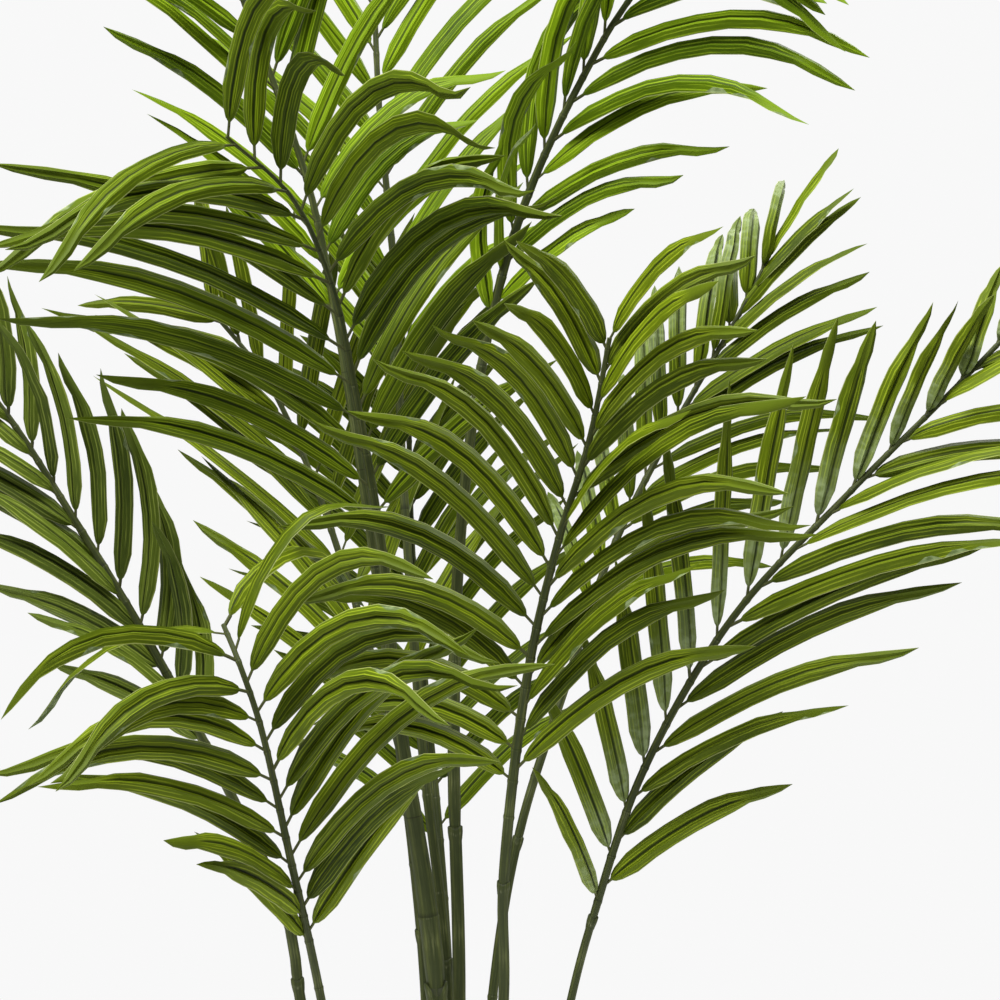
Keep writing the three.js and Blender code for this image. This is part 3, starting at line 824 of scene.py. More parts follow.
class Midline:
    """The line that a stem and its branch follow, read at even steps of a smooth curve."""

    READINGS = 240

    def __init__(self, plan: FrondPlan) -> None:
        """Draws the curve through a plan's knots.

        Args:
            plan: The frond.
        """
        leaning = [mix(foot, first, STEM_LEAN) for foot, first in zip(plan.foot, plan.midline[0])]
        knots = np.array([
            (*plan.foot, STEM_BOTTOM),
            (*leaning, FILLER_TOP + STEM_UPRIGHT),
            *plan.midline,
        ], float)
        self.face = np.array(plan.face, float)
        self.points = np.array([self._read(knots, i / self.READINGS) for i in range(self.READINGS + 1)])
        steps = np.linalg.norm(np.diff(self.points, axis=0), axis=1)
        self.reach = np.concatenate(([0.0], np.cumsum(steps)))
        self.length = float(self.reach[-1])

    @staticmethod
    def _read(knots: np.ndarray, share: float) -> np.ndarray:
        """A point of the centripetal curve through the knots."""
        at = (len(knots) - 1) * share
        span = min(int(at), len(knots) - 2)
        weight = at - span
        start, end = knots[span], knots[span + 1]
        before = knots[span - 1] if span > 0 else 2 * knots[0] - knots[1]
        after = knots[span + 2] if span + 2 < len(knots) else 2 * knots[-1] - knots[-2]
        gaps = [math.sqrt(np.linalg.norm(b - a)) for a, b in ((before, start), (start, end), (end, after))]
        leave = (start - before) / gaps[0] - (end - before) / (gaps[0] + gaps[1]) + (end - start) / gaps[1]
        arrive = (end - start) / gaps[1] - (after - start) / (gaps[1] + gaps[2]) + (after - end) / gaps[2]
        leave, arrive = leave * gaps[1], arrive * gaps[1]
        square = 3 * (end - start) - 2 * leave - arrive
        cube = 2 * (start - end) + leave + arrive
        return start + leave * weight + square * weight**2 + cube * weight**3

    def place(self, distance: float) -> tuple[np.ndarray, np.ndarray]:
        """The point and the heading at a distance along the line."""
        at = min(max(distance, 0.0), self.length)
        i = min(max(int(np.searchsorted(self.reach, at)), 1), len(self.reach) - 1)
        share = (at - self.reach[i - 1]) / (self.reach[i] - self.reach[i - 1])
        step = self.points[i] - self.points[i - 1]
        return self.points[i - 1] + share * step, unit(step)

    def axes(self, distance: float) -> tuple[np.ndarray, np.ndarray, np.ndarray, np.ndarray]:
        """The point, heading, right side and upper side at a distance along the line."""
        point, heading = self.place(distance)
        right = unit(np.cross(heading, self.face))
        return point, heading, right, np.cross(right, heading)

    def at_height(self, height: float) -> float:
        """How far along the line a height is first reached."""
        i = int(np.argmax(self.points[:, 2] >= height))
        low, high = self.points[i - 1, 2], self.points[i, 2]
        return mix(self.reach[i - 1], self.reach[i], (height - low) / (high - low))

    def ring(self, distance: float, radius: float, sides: int) -> np.ndarray:
        """The corners of a round section of a tube along the line."""
        point, _, right, upper = self.axes(distance)
        angles = 2 * math.pi * (np.arange(sides) + 0.5) / sides
        return point + radius * (np.outer(np.cos(angles), right) + np.outer(np.sin(angles), upper))


@dataclass(frozen=True)
class Bud:
    """One leaflet's place and habit on its frond, before it grows."""

    side: int
    distance: float
    length: float
    splay: float
    lift: float
    bend: float
    roll: float
    twist: float
    curl: float
    flick: float
    pull: np.ndarray


@dataclass(frozen=True)
class Growth:
    """The frames along a grown leaflet, from inside the rachis to its tip."""

    at: np.ndarray
    across: np.ndarray
    up: np.ndarray

    def read(self, shares: np.ndarray) -> tuple[np.ndarray, np.ndarray, np.ndarray]:
        """The smooth curve's points, and the directions across and up, at shares of the length."""
        place = np.clip(shares, 0, 1) * STEPS
        i = np.minimum(place.astype(int), STEPS - 1)
        t = (place - i)[:, None]
        pace = np.gradient(self.at, axis=0)
        start, end, leave, arrive = self.at[i], self.at[i + 1], pace[i], pace[i + 1]
        square = 3 * (end - start) - 2 * leave - arrive
        cube = 2 * (start - end) + leave + arrive
        point = start + leave * t + square * t**2 + cube * t**3
        across = (1 - t) * self.across[i] + t * self.across[i + 1]
        up = (1 - t) * self.up[i] + t * self.up[i + 1]
        return point, across, up


def half_width(share: np.ndarray | float) -> np.ndarray:
    """A leaflet's half width at a share of its length: a neck, a shoulder, a long strap and a point."""
    shoulder = np.clip((np.asarray(share) - SHOULDER[0]) / SHOULDER[1], 0, 1)
    point = np.clip((1 - np.asarray(share)) / POINT_SHARE, 0, 1)
    return np.maximum(NECK_WIDTH / 2, LEAFLET_WIDTH / 2 * np.sqrt(shoulder) * point**POINT_POWER)


class Room:
    """Space in cells, each of which remembers the fronds that have grown in it or beside it."""

    LOW = np.array((-900.0, -700.0, 0.0))
    CELLS = (225, 175, 260)
    OTHER_FROND = 1000

    def __init__(self) -> None:
        """Starts with every cell empty."""
        self.claimed = np.zeros(self.CELLS, np.uint16)
        self.filled = np.zeros(self.CELLS, np.uint8)

    def _cells(self, points: np.ndarray) -> tuple[np.ndarray, ...]:
        """The cells that points are in."""
        return tuple(np.floor((points - self.LOW) / CLEARANCE).astype(int).T)

    def claim(self, points: np.ndarray, frond: int) -> None:
        """Claims the cells that points are in, and their neighbours, for a frond."""
        x, y, z = self._cells(points)
        near = (-1, 0, 1)
        for i in near:
            for j in near:
                for k in near:
                    self.claimed[x + i, y + j, z + k] |= 1 << frond

    def fill(self, points: np.ndarray, frond: int) -> None:
        """Marks the cells that a leaflet's blade is in."""
        self.filled[self._cells(points)] = frond + 1

    def crowding(self, points: np.ndarray, frond: int) -> int:
        """How badly points crowd what has grown, another frond far more than their own."""
        cells = self._cells(points)
        others = (self.claimed[cells] & np.uint16(0xFFFF ^ (1 << frond))) != 0
        own = ~others & (self.filled[cells] == frond + 1)
        return int(others.sum()) * self.OTHER_FROND + int(own.sum())


class Frond:
    """A frond as it grows: its midline, its stem's and rachis's sizes, and its leaflets."""

    def __init__(self, plan: FrondPlan, number: int) -> None:
        """Draws the frond's midline.

        Args:
            plan: The frond's sizes.
            number: Its place in the growing order.
        """
        self.plan = plan
        self.number = number
        self.line = Midline(plan)
        self.collar = self.line.at_height(plan.collar)
        self.stem_top = plan.stem_radius * STEM_TAPER
        self.buds = self._buds()
        self.leaflets: list[Growth] = []

    def stem_radius(self, distance: float) -> float:
        """The bare stem's radius at a distance along the line."""
        return self.plan.stem_radius * mix(1, STEM_TAPER, distance / self.collar)

    def rachis_radius(self, distance: float) -> float:
        """The rachis's radius at a distance along the line."""
        start = self.collar + GAP
        share = min(1.0, max(0.0, (distance - start) / (self.line.length - start)))
        return mix(self.stem_top, RACHIS_TIP, share**RACHIS_TAPER)

    def claim_core(self, room: Room) -> None:
        """Claims the room that the stem and the rachis take."""
        stem = [share / (STEM_RINGS - 1) * self.collar for share in range(STEM_RINGS)]
        spigot = self.stem_top * SPIGOT_SHARE
        start = self.collar + GAP
        rachis = [(self.collar - SOCKET_DEPTH + GAP, spigot), (start, spigot)]
        for i in range(RACHIS_RINGS):
            distance = mix(start, self.line.length, i / (RACHIS_RINGS - 1))
            rachis.append((distance, self.rachis_radius(distance)))
        for rows in ([(distance, self.stem_radius(distance)) for distance in stem], rachis):
            for (begin, radius), (end, _) in zip(rows, rows[1:]):
                distance = begin
                while distance < end:
                    room.claim(self.line.ring(distance, radius, STEM_SIDES), self.number)
                    distance += CLEARANCE / 2

    def _buds(self) -> list[Bud]:
        """Every leaflet's place and habit, from the bottom to the tip, the left one of each pair first."""
        plan = self.plan
        begin = self.line.at_height(plan.leaf_from)
        end = self.line.length - RACHIS_TIP
        buds: list[Bud] = []
        for pair in range(plan.pairs):
            for side, habit, stagger in ((-1, plan.left, 0.0), (1, plan.right, STAGGER)):
                share = min(1.0, (pair + stagger) / (plan.pairs - 1 + STAGGER))
                drawn = [chance(self.number, len(buds), channel) for channel in range(DRAWS)]
                buds.append(self._bud(side, habit, share, mix(begin, end, share), drawn))
        return buds

    def _full_length(self, share: float) -> float:
        """A leaflet's full length at a share of the leafy part, before its own chance."""
        first, longest, last = self.plan.lengths
        if share < LONGEST_AT:
            return mix(first, longest, ease(share / LONGEST_AT))
        return mix(longest, last, ease((share - LONGEST_AT) / (1 - LONGEST_AT)))

    def _bud(self, side: int, habit: Habit, share: float, distance: float, drawn: Sequence[float]) -> Bud:
        """One leaflet's place and habit.

        Args:
            side: -1 for the left and 1 for the right.
            habit: How that side's leaflets grow.
            share: Its share of the leafy part.
            distance: Its distance along the midline.
            drawn: Its own draws, from -1 to 1.

        Returns:
            The bud.
        """
        wild = habit.wild
        full = self._full_length(share) * mix(*habit.reach, share)
        return Bud(
            side=side,
            distance=distance,
            length=full * (1 + CHANCES.length * wild * drawn[1]),
            splay=math.radians(mix(*habit.splay, share) + CHANCES.splay * wild * drawn[2]),
            lift=math.radians(self.plan.lift + CHANCES.lift * wild * drawn[3]),
            bend=mix(*habit.bend, share) * (1 + CHANCES.bend * wild * drawn[4]),
            roll=math.radians(-side * (mix(*habit.roll, share) + CHANCES.roll * wild * drawn[0])),
            twist=math.radians(CHANCES.twist * drawn[5]),
            curl=math.radians(CHANCES.curl * drawn[7]),
            flick=CHANCES.flick + CHANCES.flick * drawn[6],
            pull=unit(np.array(habit.pull, float)),
        )

    def _grow(self, bud: Bud, turned: float, shorten: float) -> Growth:
        """Grows a bud, turned up by an angle and shortened to a share of its length."""
        point, heading, right, upper = self.line.axes(bud.distance)
        lift = bud.lift + turned
        outward = right * (bud.side * math.cos(lift)) + upper * math.sin(lift)
        along = heading * math.cos(bud.splay) + outward * math.sin(bud.splay)
        up = upper - outward * math.sin(lift)
        step = bud.length * shorten / STEPS
        places, acrosses, ups = [], [], []
        for i in range(STEPS + 1):
            share = i / STEPS
            up = unit(up - along * float(up @ along))
            curled = bud.curl * max(0.0, (share - CURL_FROM) / (1 - CURL_FROM))
            rolled = bud.roll + bud.twist * share + curled
            across = np.cross(along, up) * math.cos(rolled) - up * math.sin(rolled)
            places.append(point)
            acrosses.append(across)
            ups.append(np.cross(across, along))
            point = point + along * step
            weight = bud.bend * (BENDING[0] + BENDING[1] * share) / STEPS
            turn = -weight * bud.flick if share > FLICK_FROM else weight
            along = along + bud.pull * turn
            along = unit(along - along * (turn * float(bud.pull @ along)))
        return Growth(np.array(places), np.array(acrosses), np.array(ups))

    @staticmethod
    def _blade_points(growth: Growth) -> np.ndarray:
        """Points over a leaflet's blade, close enough together to find anything that crosses it."""
        thirds = np.array((0.33, 0.67, 1.0))
        reach = np.array((-1.0, -0.5, 0.0, 0.5, 1.0))
        places, halves, acrosses = [], [], []
        for i in range(2, STEPS + 1):
            for t in thirds:
                places.append((1 - t) * growth.at[i - 1] + t * growth.at[i])
                halves.append(float(half_width((i - 1 + t) / STEPS)))
                acrosses.append(growth.across[i])
        sideways = np.array(acrosses)[:, None, :] * (np.array(halves)[:, None] * reach)[:, :, None]
        return (np.array(places)[:, None, :] + sideways).reshape(-1, 3)

    def grow(self, room: Room) -> None:
        """Grows every leaflet the first way that keeps clear: as it would, then turned, then shorter.

        Args:
            room: What has grown so far, which the leaflets then claim room in.
        """
        for bud in self.buds:
            growth, points = self._fit(bud, room)
            room.claim(points, self.number)
            room.fill(points, self.number)
            self.leaflets.append(growth)

    def _fit(self, bud: Bud, room: Room) -> tuple[Growth, np.ndarray]:
        """The first growth of a bud that keeps clear, or else the least crowded one.

        Args:
            bud: The bud.
            room: What has grown so far.

        Returns:
            The growth and the points over its blade.
        """
        least, best = math.inf, None
        for shorten in SHARES:
            for turns in TURNS:
                growth = self._grow(bud, math.radians(TURN * turns), shorten)
                points = self._blade_points(growth)
                crowd = room.crowding(points, self.number)
                if crowd < least:
                    least, best = crowd, (growth, points)
                if crowd == 0:
                    return best
        return best


# ---- Leaflets ----


class LeafletPattern:
    """One straight leaflet, modelled once: across on X, its share of the length on Y, and up on Z."""

    STATIONS = (0, 0.04, 0.056, 0.07, 0.1, 0.18, 0.29, 0.4, 0.51, 0.62, 0.71, 0.79, 0.86, 0.94, 1)
    STALK_RINGS = 2
    SIDES = 8
    CROWN = 0.58  # how high the two lobes stand, in half widths
    POINT_POWER = 0.56  # a little blunter than the plain solid's
    LOBE = (0.5, 1.0)  # the top of a lobe: out in half widths, and up in crowns
    GROOVE = 0.5  # the groove between the lobes, in crowns
    BLADE = 0.9  # how thick the cloth is
    STALK = 1.25  # the stalk's radius
    POINT_WIDTH = 0.12
    WAIST = 0.2  # how much narrower a leaflet is where its print ends
    WAIST_AT = 0.79
    WAIST_SPAN = 0.03
    SHOULDER = (0.052, 0.11)  # where it widens from its stalk, and over how much of its length
    ASIDE = 2.0  # shaped rings wait this far along, clear of those still to be shaped

    def __init__(self) -> None:
        """Models the leaflet from an eight-sided rod."""
        spans = len(self.STATIONS) - 1
        rod = Bench.new(bpy.ops.mesh.primitive_cylinder_add, vertices=self.SIDES, radius=1, depth=1,
                        location=(0, 0.5, 0), rotation=(-math.pi / 2, 0, 0))
        Bench.edit(rod)
        Bench.pick_edges(rod, lambda a, b: abs(a.y - b.y) > 0.5)
        bpy.ops.mesh.subdivide(number_cuts=spans - 1)
        Bench.done()
        places = Bench.places(rod)
        corners = np.arctan2(places[:, 2], places[:, 0]) / (2 * math.pi / self.SIDES)
        self.corner = np.rint(corners).astype(int) % self.SIDES
        Bench.edit(rod)
        self._shape_section(rod, (self.STALK_RINGS + 0.5) / spans)
        for ring, station in reversed(list(enumerate(self.STATIONS))):
            self._shape_ring(rod, ring / spans, station, ring <= self.STALK_RINGS)
        Bench.pick(rod, lambda p: True)
        bpy.ops.transform.translate(value=(0, -self.ASIDE, 0))
        Bench.done()
        self.places = Bench.places(rod)
        self.mesh = rod.data
        self.mesh.name = "leaflet_pattern"
        self._lay_map()
        bpy.data.objects.remove(rod)

    def _shape_section(self, rod: bpy.types.Object, begin: float) -> None:
        """Moves the blade's lines: its lobes up, its groove between them and its underside against them."""
        slant = math.sqrt(0.5)
        out, up = self.LOBE
        for side in (-1, 1):
            for above in (-1, 1):
                Bench.pick(rod, lambda p, s=side, a=above: p.y > begin and p.x * s > 0.5 and p.z * a > 0.5)
                bpy.ops.transform.translate(value=(side * (out - slant), 0, up - above * slant))
        Bench.pick(rod, lambda p: p.y > begin and abs(p.x) < 0.1 and abs(p.z) > 0.9)
        bpy.ops.transform.resize(value=(1, 1, 0), center_override=(0, 0, 0))
        bpy.ops.transform.translate(value=(0, 0, self.GROOVE))

    def _shape_ring(self, rod: bpy.types.Object, place: float, station: float, stalk: bool) -> None:
        """Gives one ring its width, crown and thickness, and slides it to its station.

        Args:
            rod: The rod.
            place: Where the ring is along the rod.
            station: Where it belongs.
            stalk: Whether it is part of the round stalk.
        """
        half = self._half(station)
        Bench.pick(rod, lambda p: abs(p.y - place) < 1e-4)
        size = (self.STALK, 1, self.STALK) if stalk else (half, 1, half * self.CROWN)
        bpy.ops.transform.resize(value=size, center_override=(0, place, 0))
        bpy.ops.transform.translate(value=(0, station - place + self.ASIDE, 0))
        if not stalk:
            self._part_underside(rod, station + self.ASIDE, min(self.BLADE, half * self.CROWN * 0.5))

    def _part_underside(self, rod: bpy.types.Object, place: float, depth: float) -> None:
        """Moves the three lower corners of the ring at a place down by the cloth's thickness."""
        lower = set(np.flatnonzero(self.corner > 4).tolist())
        shape = bmesh.from_edit_mesh(rod.data)
        Bench.pick(rod, lambda p: False)
        for vertex in shape.verts:
            if vertex.index in lower and abs(vertex.co.y - place) < 1e-4:
                vertex.select = True
        shape.select_flush_mode()
        bmesh.update_edit_mesh(rod.data)
        bpy.ops.transform.translate(value=(0, 0, -depth))

    def _half(self, station: float) -> float:
        """A leaflet's half width, with a round shoulder, a waist and a sharp point."""
        begin, span = self.SHOULDER
        shoulder = min(1.0, max(0.0, (station - begin) / span))
        point = min(1.0, (1 - station) / POINT_SHARE) ** self.POINT_POWER
        waist = 1 - self.WAIST * math.exp(-(((station - self.WAIST_AT) / self.WAIST_SPAN) ** 2))
        return max(self.POINT_WIDTH, LEAFLET_WIDTH / 2 * math.sqrt(shoulder) * point * waist)

    def _lay_map(self) -> None:
        """Lays the leaf map: the share along, and 0 to 1 across each face, one beside the other."""
        across = (1.0, 0.75, 0.5, 0.25, 0.0, 0.25, 0.5, 0.75)
        layer = self.mesh.uv_layers[0] if self.mesh.uv_layers else self.mesh.uv_layers.new(name=LEAF_MAP)
        layer.name = LEAF_MAP
        self.map = np.empty((len(self.mesh.loops), 2))
        for face in self.mesh.polygons:
            corners = [int(self.corner[v]) for v in face.vertices]
            lower = UNDERSIDE if len(corners) == 4 and max(corners) > 4 else 0.0
            for loop, vertex, corner in zip(face.loop_indices, face.vertices, corners):
                self.map[loop] = (self.places[vertex, 1], across[corner] + lower)
        layer.data.foreach_set("uv", self.map.ravel())

    def copy(self, growth: Growth, number: int, frond: int) -> bpy.types.Object:
        """A copy of the leaflet, with its own mesh, laid along a grown curve.

        Args:
            growth: The curve.
            number: The leaflet's number on its frond.
            frond: The frond's number.

        Returns:
            The copy.
        """
        crown, ripple, phase, width = (chance(frond, number, channel) for channel in (11, 12, 13, 14))
        x, share, z = self.places.T
        point, across, up = growth.read(share)
        edge = np.abs(x) / (LEAFLET_WIDTH / 2)
        wave = (0.7 + 0.4 * ripple) * edge * np.sin(2 * math.pi * (3.2 * share + phase))
        height = z * (1.05 + 0.4 * crown) + wave
        places = point + across * (x * (1 + 0.07 * width))[:, None] + up * height[:, None]
        mesh = self.mesh.copy()
        mesh.vertices.foreach_set("co", (places * MM).ravel())
        laid = self.map + np.array((LEAF_PITCH * number, 0.0))
        mesh.uv_layers[LEAF_MAP].data.foreach_set("uv", laid.ravel())
        mesh.update()
        copy = bpy.data.objects.new("leaflet", mesh)
        bpy.context.scene.collection.objects.link(copy)
        return copy


# ---- Stems and rachises ----


class Section(Enum):
    """The shape of a shaft across its length."""

    ROUND = "round"
    CHANNELLED = "channelled"


@dataclass(frozen=True)
class Row:
    """One ring of a shaft: its distance along the line, its radius and its joint mark."""

    distance: float
    radius: float
    mark: float = 0.0


@dataclass
class Shaft:
    """A shaft along a midline, modelled from a rod and laid along the line ring by ring."""

    # A channel's depth and half width, its banks' height, place and half width, and how many rings
    # and how far round a notch reaches: depths and heights are shares, and the rest is in radians.
    CHANNEL: ClassVar = (0.2, 0.55)
    BANK: ClassVar = (0.05, 0.95, 0.3)
    NOTCH: ClassVar = (3, 0.9)

    name: str
    line: Midline
    rows: list[Row]
    section: Section = Section.ROUND
    sides: int = 10
    notch: float = 0.0  # how deep the top is cut at the front, in millimetres

    def _profile(self, angles: np.ndarray) -> np.ndarray:
        """The section's radius at each angle, as a share of the row's radius."""
        if self.section is Section.ROUND:
            return np.ones_like(angles)
        front = self._from_front(angles)
        depth, width = self.CHANNEL
        height, place, spread = self.BANK
        bank = height * np.exp(-(((front - place) / spread) ** 2))
        return 1 - depth * np.exp(-((front / width) ** 2)) + bank

    @staticmethod
    def _from_front(angles: np.ndarray) -> np.ndarray:
        """How far round each angle is from the front."""
        return np.abs((angles - math.pi / 2 + math.pi) % (2 * math.pi) - math.pi)

    def build(self) -> bpy.types.Object:
        """Models the shaft.

        Returns:
            The shaft as one closed piece.
        """
        rod = Bench.new(bpy.ops.mesh.primitive_cylinder_add, vertices=self.sides, radius=1, depth=1,
                        location=(0, 0, 0.5))
        Bench.edit(rod)
        Bench.pick_edges(rod, lambda a, b: abs(a.z - b.z) > 0.5)
        bpy.ops.mesh.subdivide(number_cuts=len(self.rows) - 2)
        Bench.done()
        self._lay(rod.data)
        rod.name = rod.data.name = self.name
        Bench.smooth(rod, 55)
        return rod

    def _lay(self, mesh: bpy.types.Mesh) -> None:
        """Lays the rod's rings along the line, and its map along and round it."""
        places = np.empty(len(mesh.vertices) * 3)
        mesh.vertices.foreach_get("co", places)
        places = places.reshape(-1, 3)
        rings = np.rint(places[:, 2] * (len(self.rows) - 1)).astype(int)
        angles = np.arctan2(places[:, 1], places[:, 0])
        fronts = self._from_front(angles)
        shares = self._profile(angles)
        axes = [self.line.axes(row.distance) for row in self.rows]
        notched, reach = self.NOTCH
        laid = np.empty_like(places)
        for i, (ring, angle, front, share) in enumerate(zip(rings, angles, fronts, shares)):
            point, heading, right, upper = axes[ring]
            radius = self.rows[ring].radius * share
            laid[i] = point + radius * (right * math.cos(angle) + upper * math.sin(angle))
            if self.notch and ring >= len(self.rows) - notched:
                laid[i] -= heading * self.notch * max(0.0, 1 - front / reach)
        mesh.vertices.foreach_set("co", (laid * MM).ravel())
        layer = mesh.uv_layers[0] if mesh.uv_layers else mesh.uv_layers.new(name=STEM_MAP)
        layer.name = STEM_MAP
        turns = (angles / (2 * math.pi)) % 1
        for face in mesh.polygons:
            corner_turns = [turns[v] for v in face.vertices]
            wraps = max(corner_turns) - min(corner_turns) > 0.5
            for loop, vertex, turn in zip(face.loop_indices, face.vertices, corner_turns):
                around = turn + 1 if wraps and turn < 0.5 else turn
                layer.data[loop].uv = (self.rows[rings[vertex]].distance * MM, around)
        marks = mesh.attributes.new(JOINT_MARK, "FLOAT", "POINT")
        marks.data.foreach_set("value", [self.rows[ring].mark for ring in rings])
        mesh.update()


@dataclass
class FrondPieces:
    """The three visible pieces of a frond: its bare stem, its jointed rachis and its leaflets."""

    # A joint's rings: their offset in reaches, how far they swell in joints, and their mark, -1 where a
    # shadow is painted.
    JOINT: ClassVar = ((-1, 0, 0), (-0.4, 0.7, 0), (0.1, 1, 1), (0.35, 0.3, -1), (1, 0, 0))
    # The collar's rings: their offset from its distance, their share of its lip, and their mark, -1 where a
    # shadow is painted.
    COLLAR: ClassVar = ((-10, 0.4, 0), (-4, 1, 1), (0.5, 1, 0), (1.5, 0.4, -1))
    # A stem's joints: the first one's share of the stem, the step to the next, and chance's part.
    STEM_JOINTS: ClassVar = (0.32, 0.22, 0.03)
    STEM_DRAW: ClassVar[int] = 21  # the channel of that chance
    # A rachis's joints below its leaflets: the first one's distance from the collar, the step to
    # the next, how many there are at most, and how far below the first leaflet they stop.
    BARE_JOINTS: ClassVar = (60, 90, 8, 20)

    frond: Frond
    step: float = 14.0  # between a shaft's rings
    joint: float = 0.45  # how far a joint stands out
    joint_reach: float = 3.5
    lip: float = 1.1  # how far the collar's lip stands out
    stem_joints: int = 3
    thick: float = 8.0  # the stem radius beyond which a stem is channelled and its rachis slims down
    slim: float = 0.36  # how much such a rachis slims
    plug: float = 0.82  # what is left of a rachis's radius inside its collar

    def stem(self, material: bpy.types.Material) -> bpy.types.Object:
        """Builds the bare stem, with a few joints and a flared collar.

        Args:
            material: The stem's material.

        Returns:
            The stem.
        """
        frond = self.frond
        first, step, wander = self.STEM_JOINTS
        joints = [frond.collar * (first + step * i + wander * chance(frond.number, i, self.STEM_DRAW))
                  for i in range(self.stem_joints)]
        rows = self._rows(0.0, frond.collar - 12, joints, frond.stem_radius)
        rows += [Row(frond.collar + offset, frond.stem_top + self.lip * share, mark)
                 for offset, share, mark in self.COLLAR]
        name = "palm_stem_" + frond.plan.name
        if frond.plan.stem_radius > self.thick:
            shaft = Shaft(name, frond.line, rows, Section.CHANNELLED, 20, 16.0)
        else:
            shaft = Shaft(name, frond.line, rows, Section.ROUND, 12, 3.0)
        return hand_over(shaft.build(), material, "stem", "stem_" + frond.plan.name)

    def rachis(self, material: bpy.types.Material) -> bpy.types.Object:
        """Builds the rachis, with a joint where each leaflet leaves it.

        Args:
            material: The rachis's material.

        Returns:
            The rachis.
        """
        frond = self.frond
        first, step, most, gap = self.BARE_JOINTS
        bare = [frond.collar + first + step * i for i in range(most)]
        joints = [joint for joint in bare if joint < frond.buds[0].distance - gap]
        joints += [bud.distance for bud in frond.buds[::2]]
        start = frond.collar - SOCKET_DEPTH + 1
        rows = self._rows(start, frond.line.length, joints, frond.rachis_radius)
        if frond.plan.stem_radius > self.thick:
            rows = [replace(row, radius=row.radius * self._slimness(row.distance)) for row in rows]
        inside = frond.collar + 2
        rows = [replace(row, radius=row.radius * self.plug) if row.distance < inside else row for row in rows]
        shaft = Shaft("rachis_" + frond.plan.name, frond.line, rows, Section.ROUND, 8)
        return hand_over(shaft.build(), material, "stem")

    def _slimness(self, distance: float) -> float:
        """What is left of a thick rachis's radius at a distance along the line."""
        frond = self.frond
        share = (distance - frond.collar) / (frond.buds[0].distance - frond.collar)
        return 1 - self.slim * ease(min(1.0, max(0.0, share)))

    def _rows(self, begin: float, end: float, joints: Sequence[float],
              radius: Callable[[float], float]) -> list[Row]:
        """A shaft's rings, closer together at its joints.

        Args:
            begin: The first ring's distance.
            end: The last ring's distance.
            joints: The distances of its joints.
            radius: Its radius at a distance.

        Returns:
            The rings.
        """
        count = max(2, round((end - begin) / self.step))
        wanted = {mix(begin, end, i / count): (0.0, 0.0) for i in range(count + 1)}
        clear = self.joint_reach * 1.2
        for joint in joints:
            wanted = {d: s for d, s in wanted.items() if abs(d - joint) > clear or d in (begin, end)}
            for offset, swell, mark in self.JOINT:
                at = joint + offset * self.joint_reach
                if begin < at < end:
                    wanted[at] = (swell, mark)
        return [Row(d, radius(d) + self.joint * swell * (0.5 + radius(d) / 8), mark)
                for d, (swell, mark) in sorted(wanted.items())]

    def leaflets(self, pattern: LeafletPattern, material: bpy.types.Material) -> bpy.types.Object:
        """Lays a copy of the pattern along each grown leaflet and joins them.

        Args:
            pattern: The leaflet that is copied.
            material: The leaflets' material.

        Returns:
            The leaflets as one piece.
        """
        frond = self.frond
        copies = [pattern.copy(growth, i, frond.number) for i, growth in enumerate(frond.leaflets)]
        piece = Bench.join(copies, "leaflets_" + frond.plan.name)
        Bench.smooth(piece, 70)
        return hand_over(piece, material, "leaf", "frond_" + frond.plan.name)


# ---- The pot and what fills it ----


@dataclass
class Pot:
    """A plain tapered pot with a rolled rim band, turned from its outline."""

    foot_radius: float = 0.076
    wall: float = 0.003
    floor: float = 0.004
    band: float = 0.016
    lip: float = 0.004
    turns: int = 96

    def build(self, material: bpy.types.Material) -> bpy.types.Object:
        """Turns the pot to fit its solid's box.

        Args:
            material: The pot's material.

        Returns:
            The pot.
        """
        low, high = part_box("pot")
        height = high.z - low.z
        rim = (high.x - low.x) / 2
        slope = (rim - self.lip - self.foot_radius) / height

        def outer(z: float) -> float:
            """The outer wall's radius at a height."""
            return self.foot_radius + slope * z

        recess = 0.0035
        outline = [
            (0.0, recess), (self.foot_radius - 0.012, recess), (self.foot_radius - 0.009, 0.0),
            (self.foot_radius, 0.0), (outer(0.010), 0.010), (outer(0.012) - 0.0012, 0.0125),
            (outer(height - self.band - 0.004), height - self.band - 0.004),
            (outer(height - self.band) + self.lip - 0.001, height - self.band),
            (rim - 0.0006, height - 0.004), (rim - 0.0006, height - 0.0006),
            (rim - self.lip, height), (outer(height) - self.wall, height - 0.002),
            (outer(self.floor) - self.wall, self.floor + 0.004),
            (outer(0) - self.wall - 0.006, self.floor + 0.001), (0.0, self.floor + 0.001),
        ]
        pot = Bench.new(bpy.ops.mesh.primitive_plane_add, size=0.001, location=(0, 0, recess))
        Bench.edit(pot)
        bpy.ops.mesh.select_all(action="SELECT")
        bpy.ops.mesh.merge(type="CENTER")
        for (r0, z0), (r1, z1) in zip(outline, outline[1:]):
            bpy.ops.mesh.extrude_region_move(TRANSFORM_OT_translate={"value": (r1 - r0, 0, z1 - z0)})
        bpy.ops.mesh.select_all(action="SELECT")
        bpy.ops.mesh.spin(steps=self.turns, angle=2 * math.pi, center=(0, 0, 0), axis=(0, 0, 1))
        bpy.ops.mesh.select_all(action="SELECT")
        bpy.ops.mesh.remove_doubles(threshold=1e-5)
        bpy.ops.mesh.normals_make_consistent(inside=False)
        Bench.done()
        pot.name = pot.data.name = "palm_pot"
        Bench.modify(pot, "BEVEL", width=0.0008, segments=2, limit_method="ANGLE",
                     angle_limit=math.radians(25))
        Bench.smooth(pot, 40)
        return hand_over(pot, material, "pot", "pot")


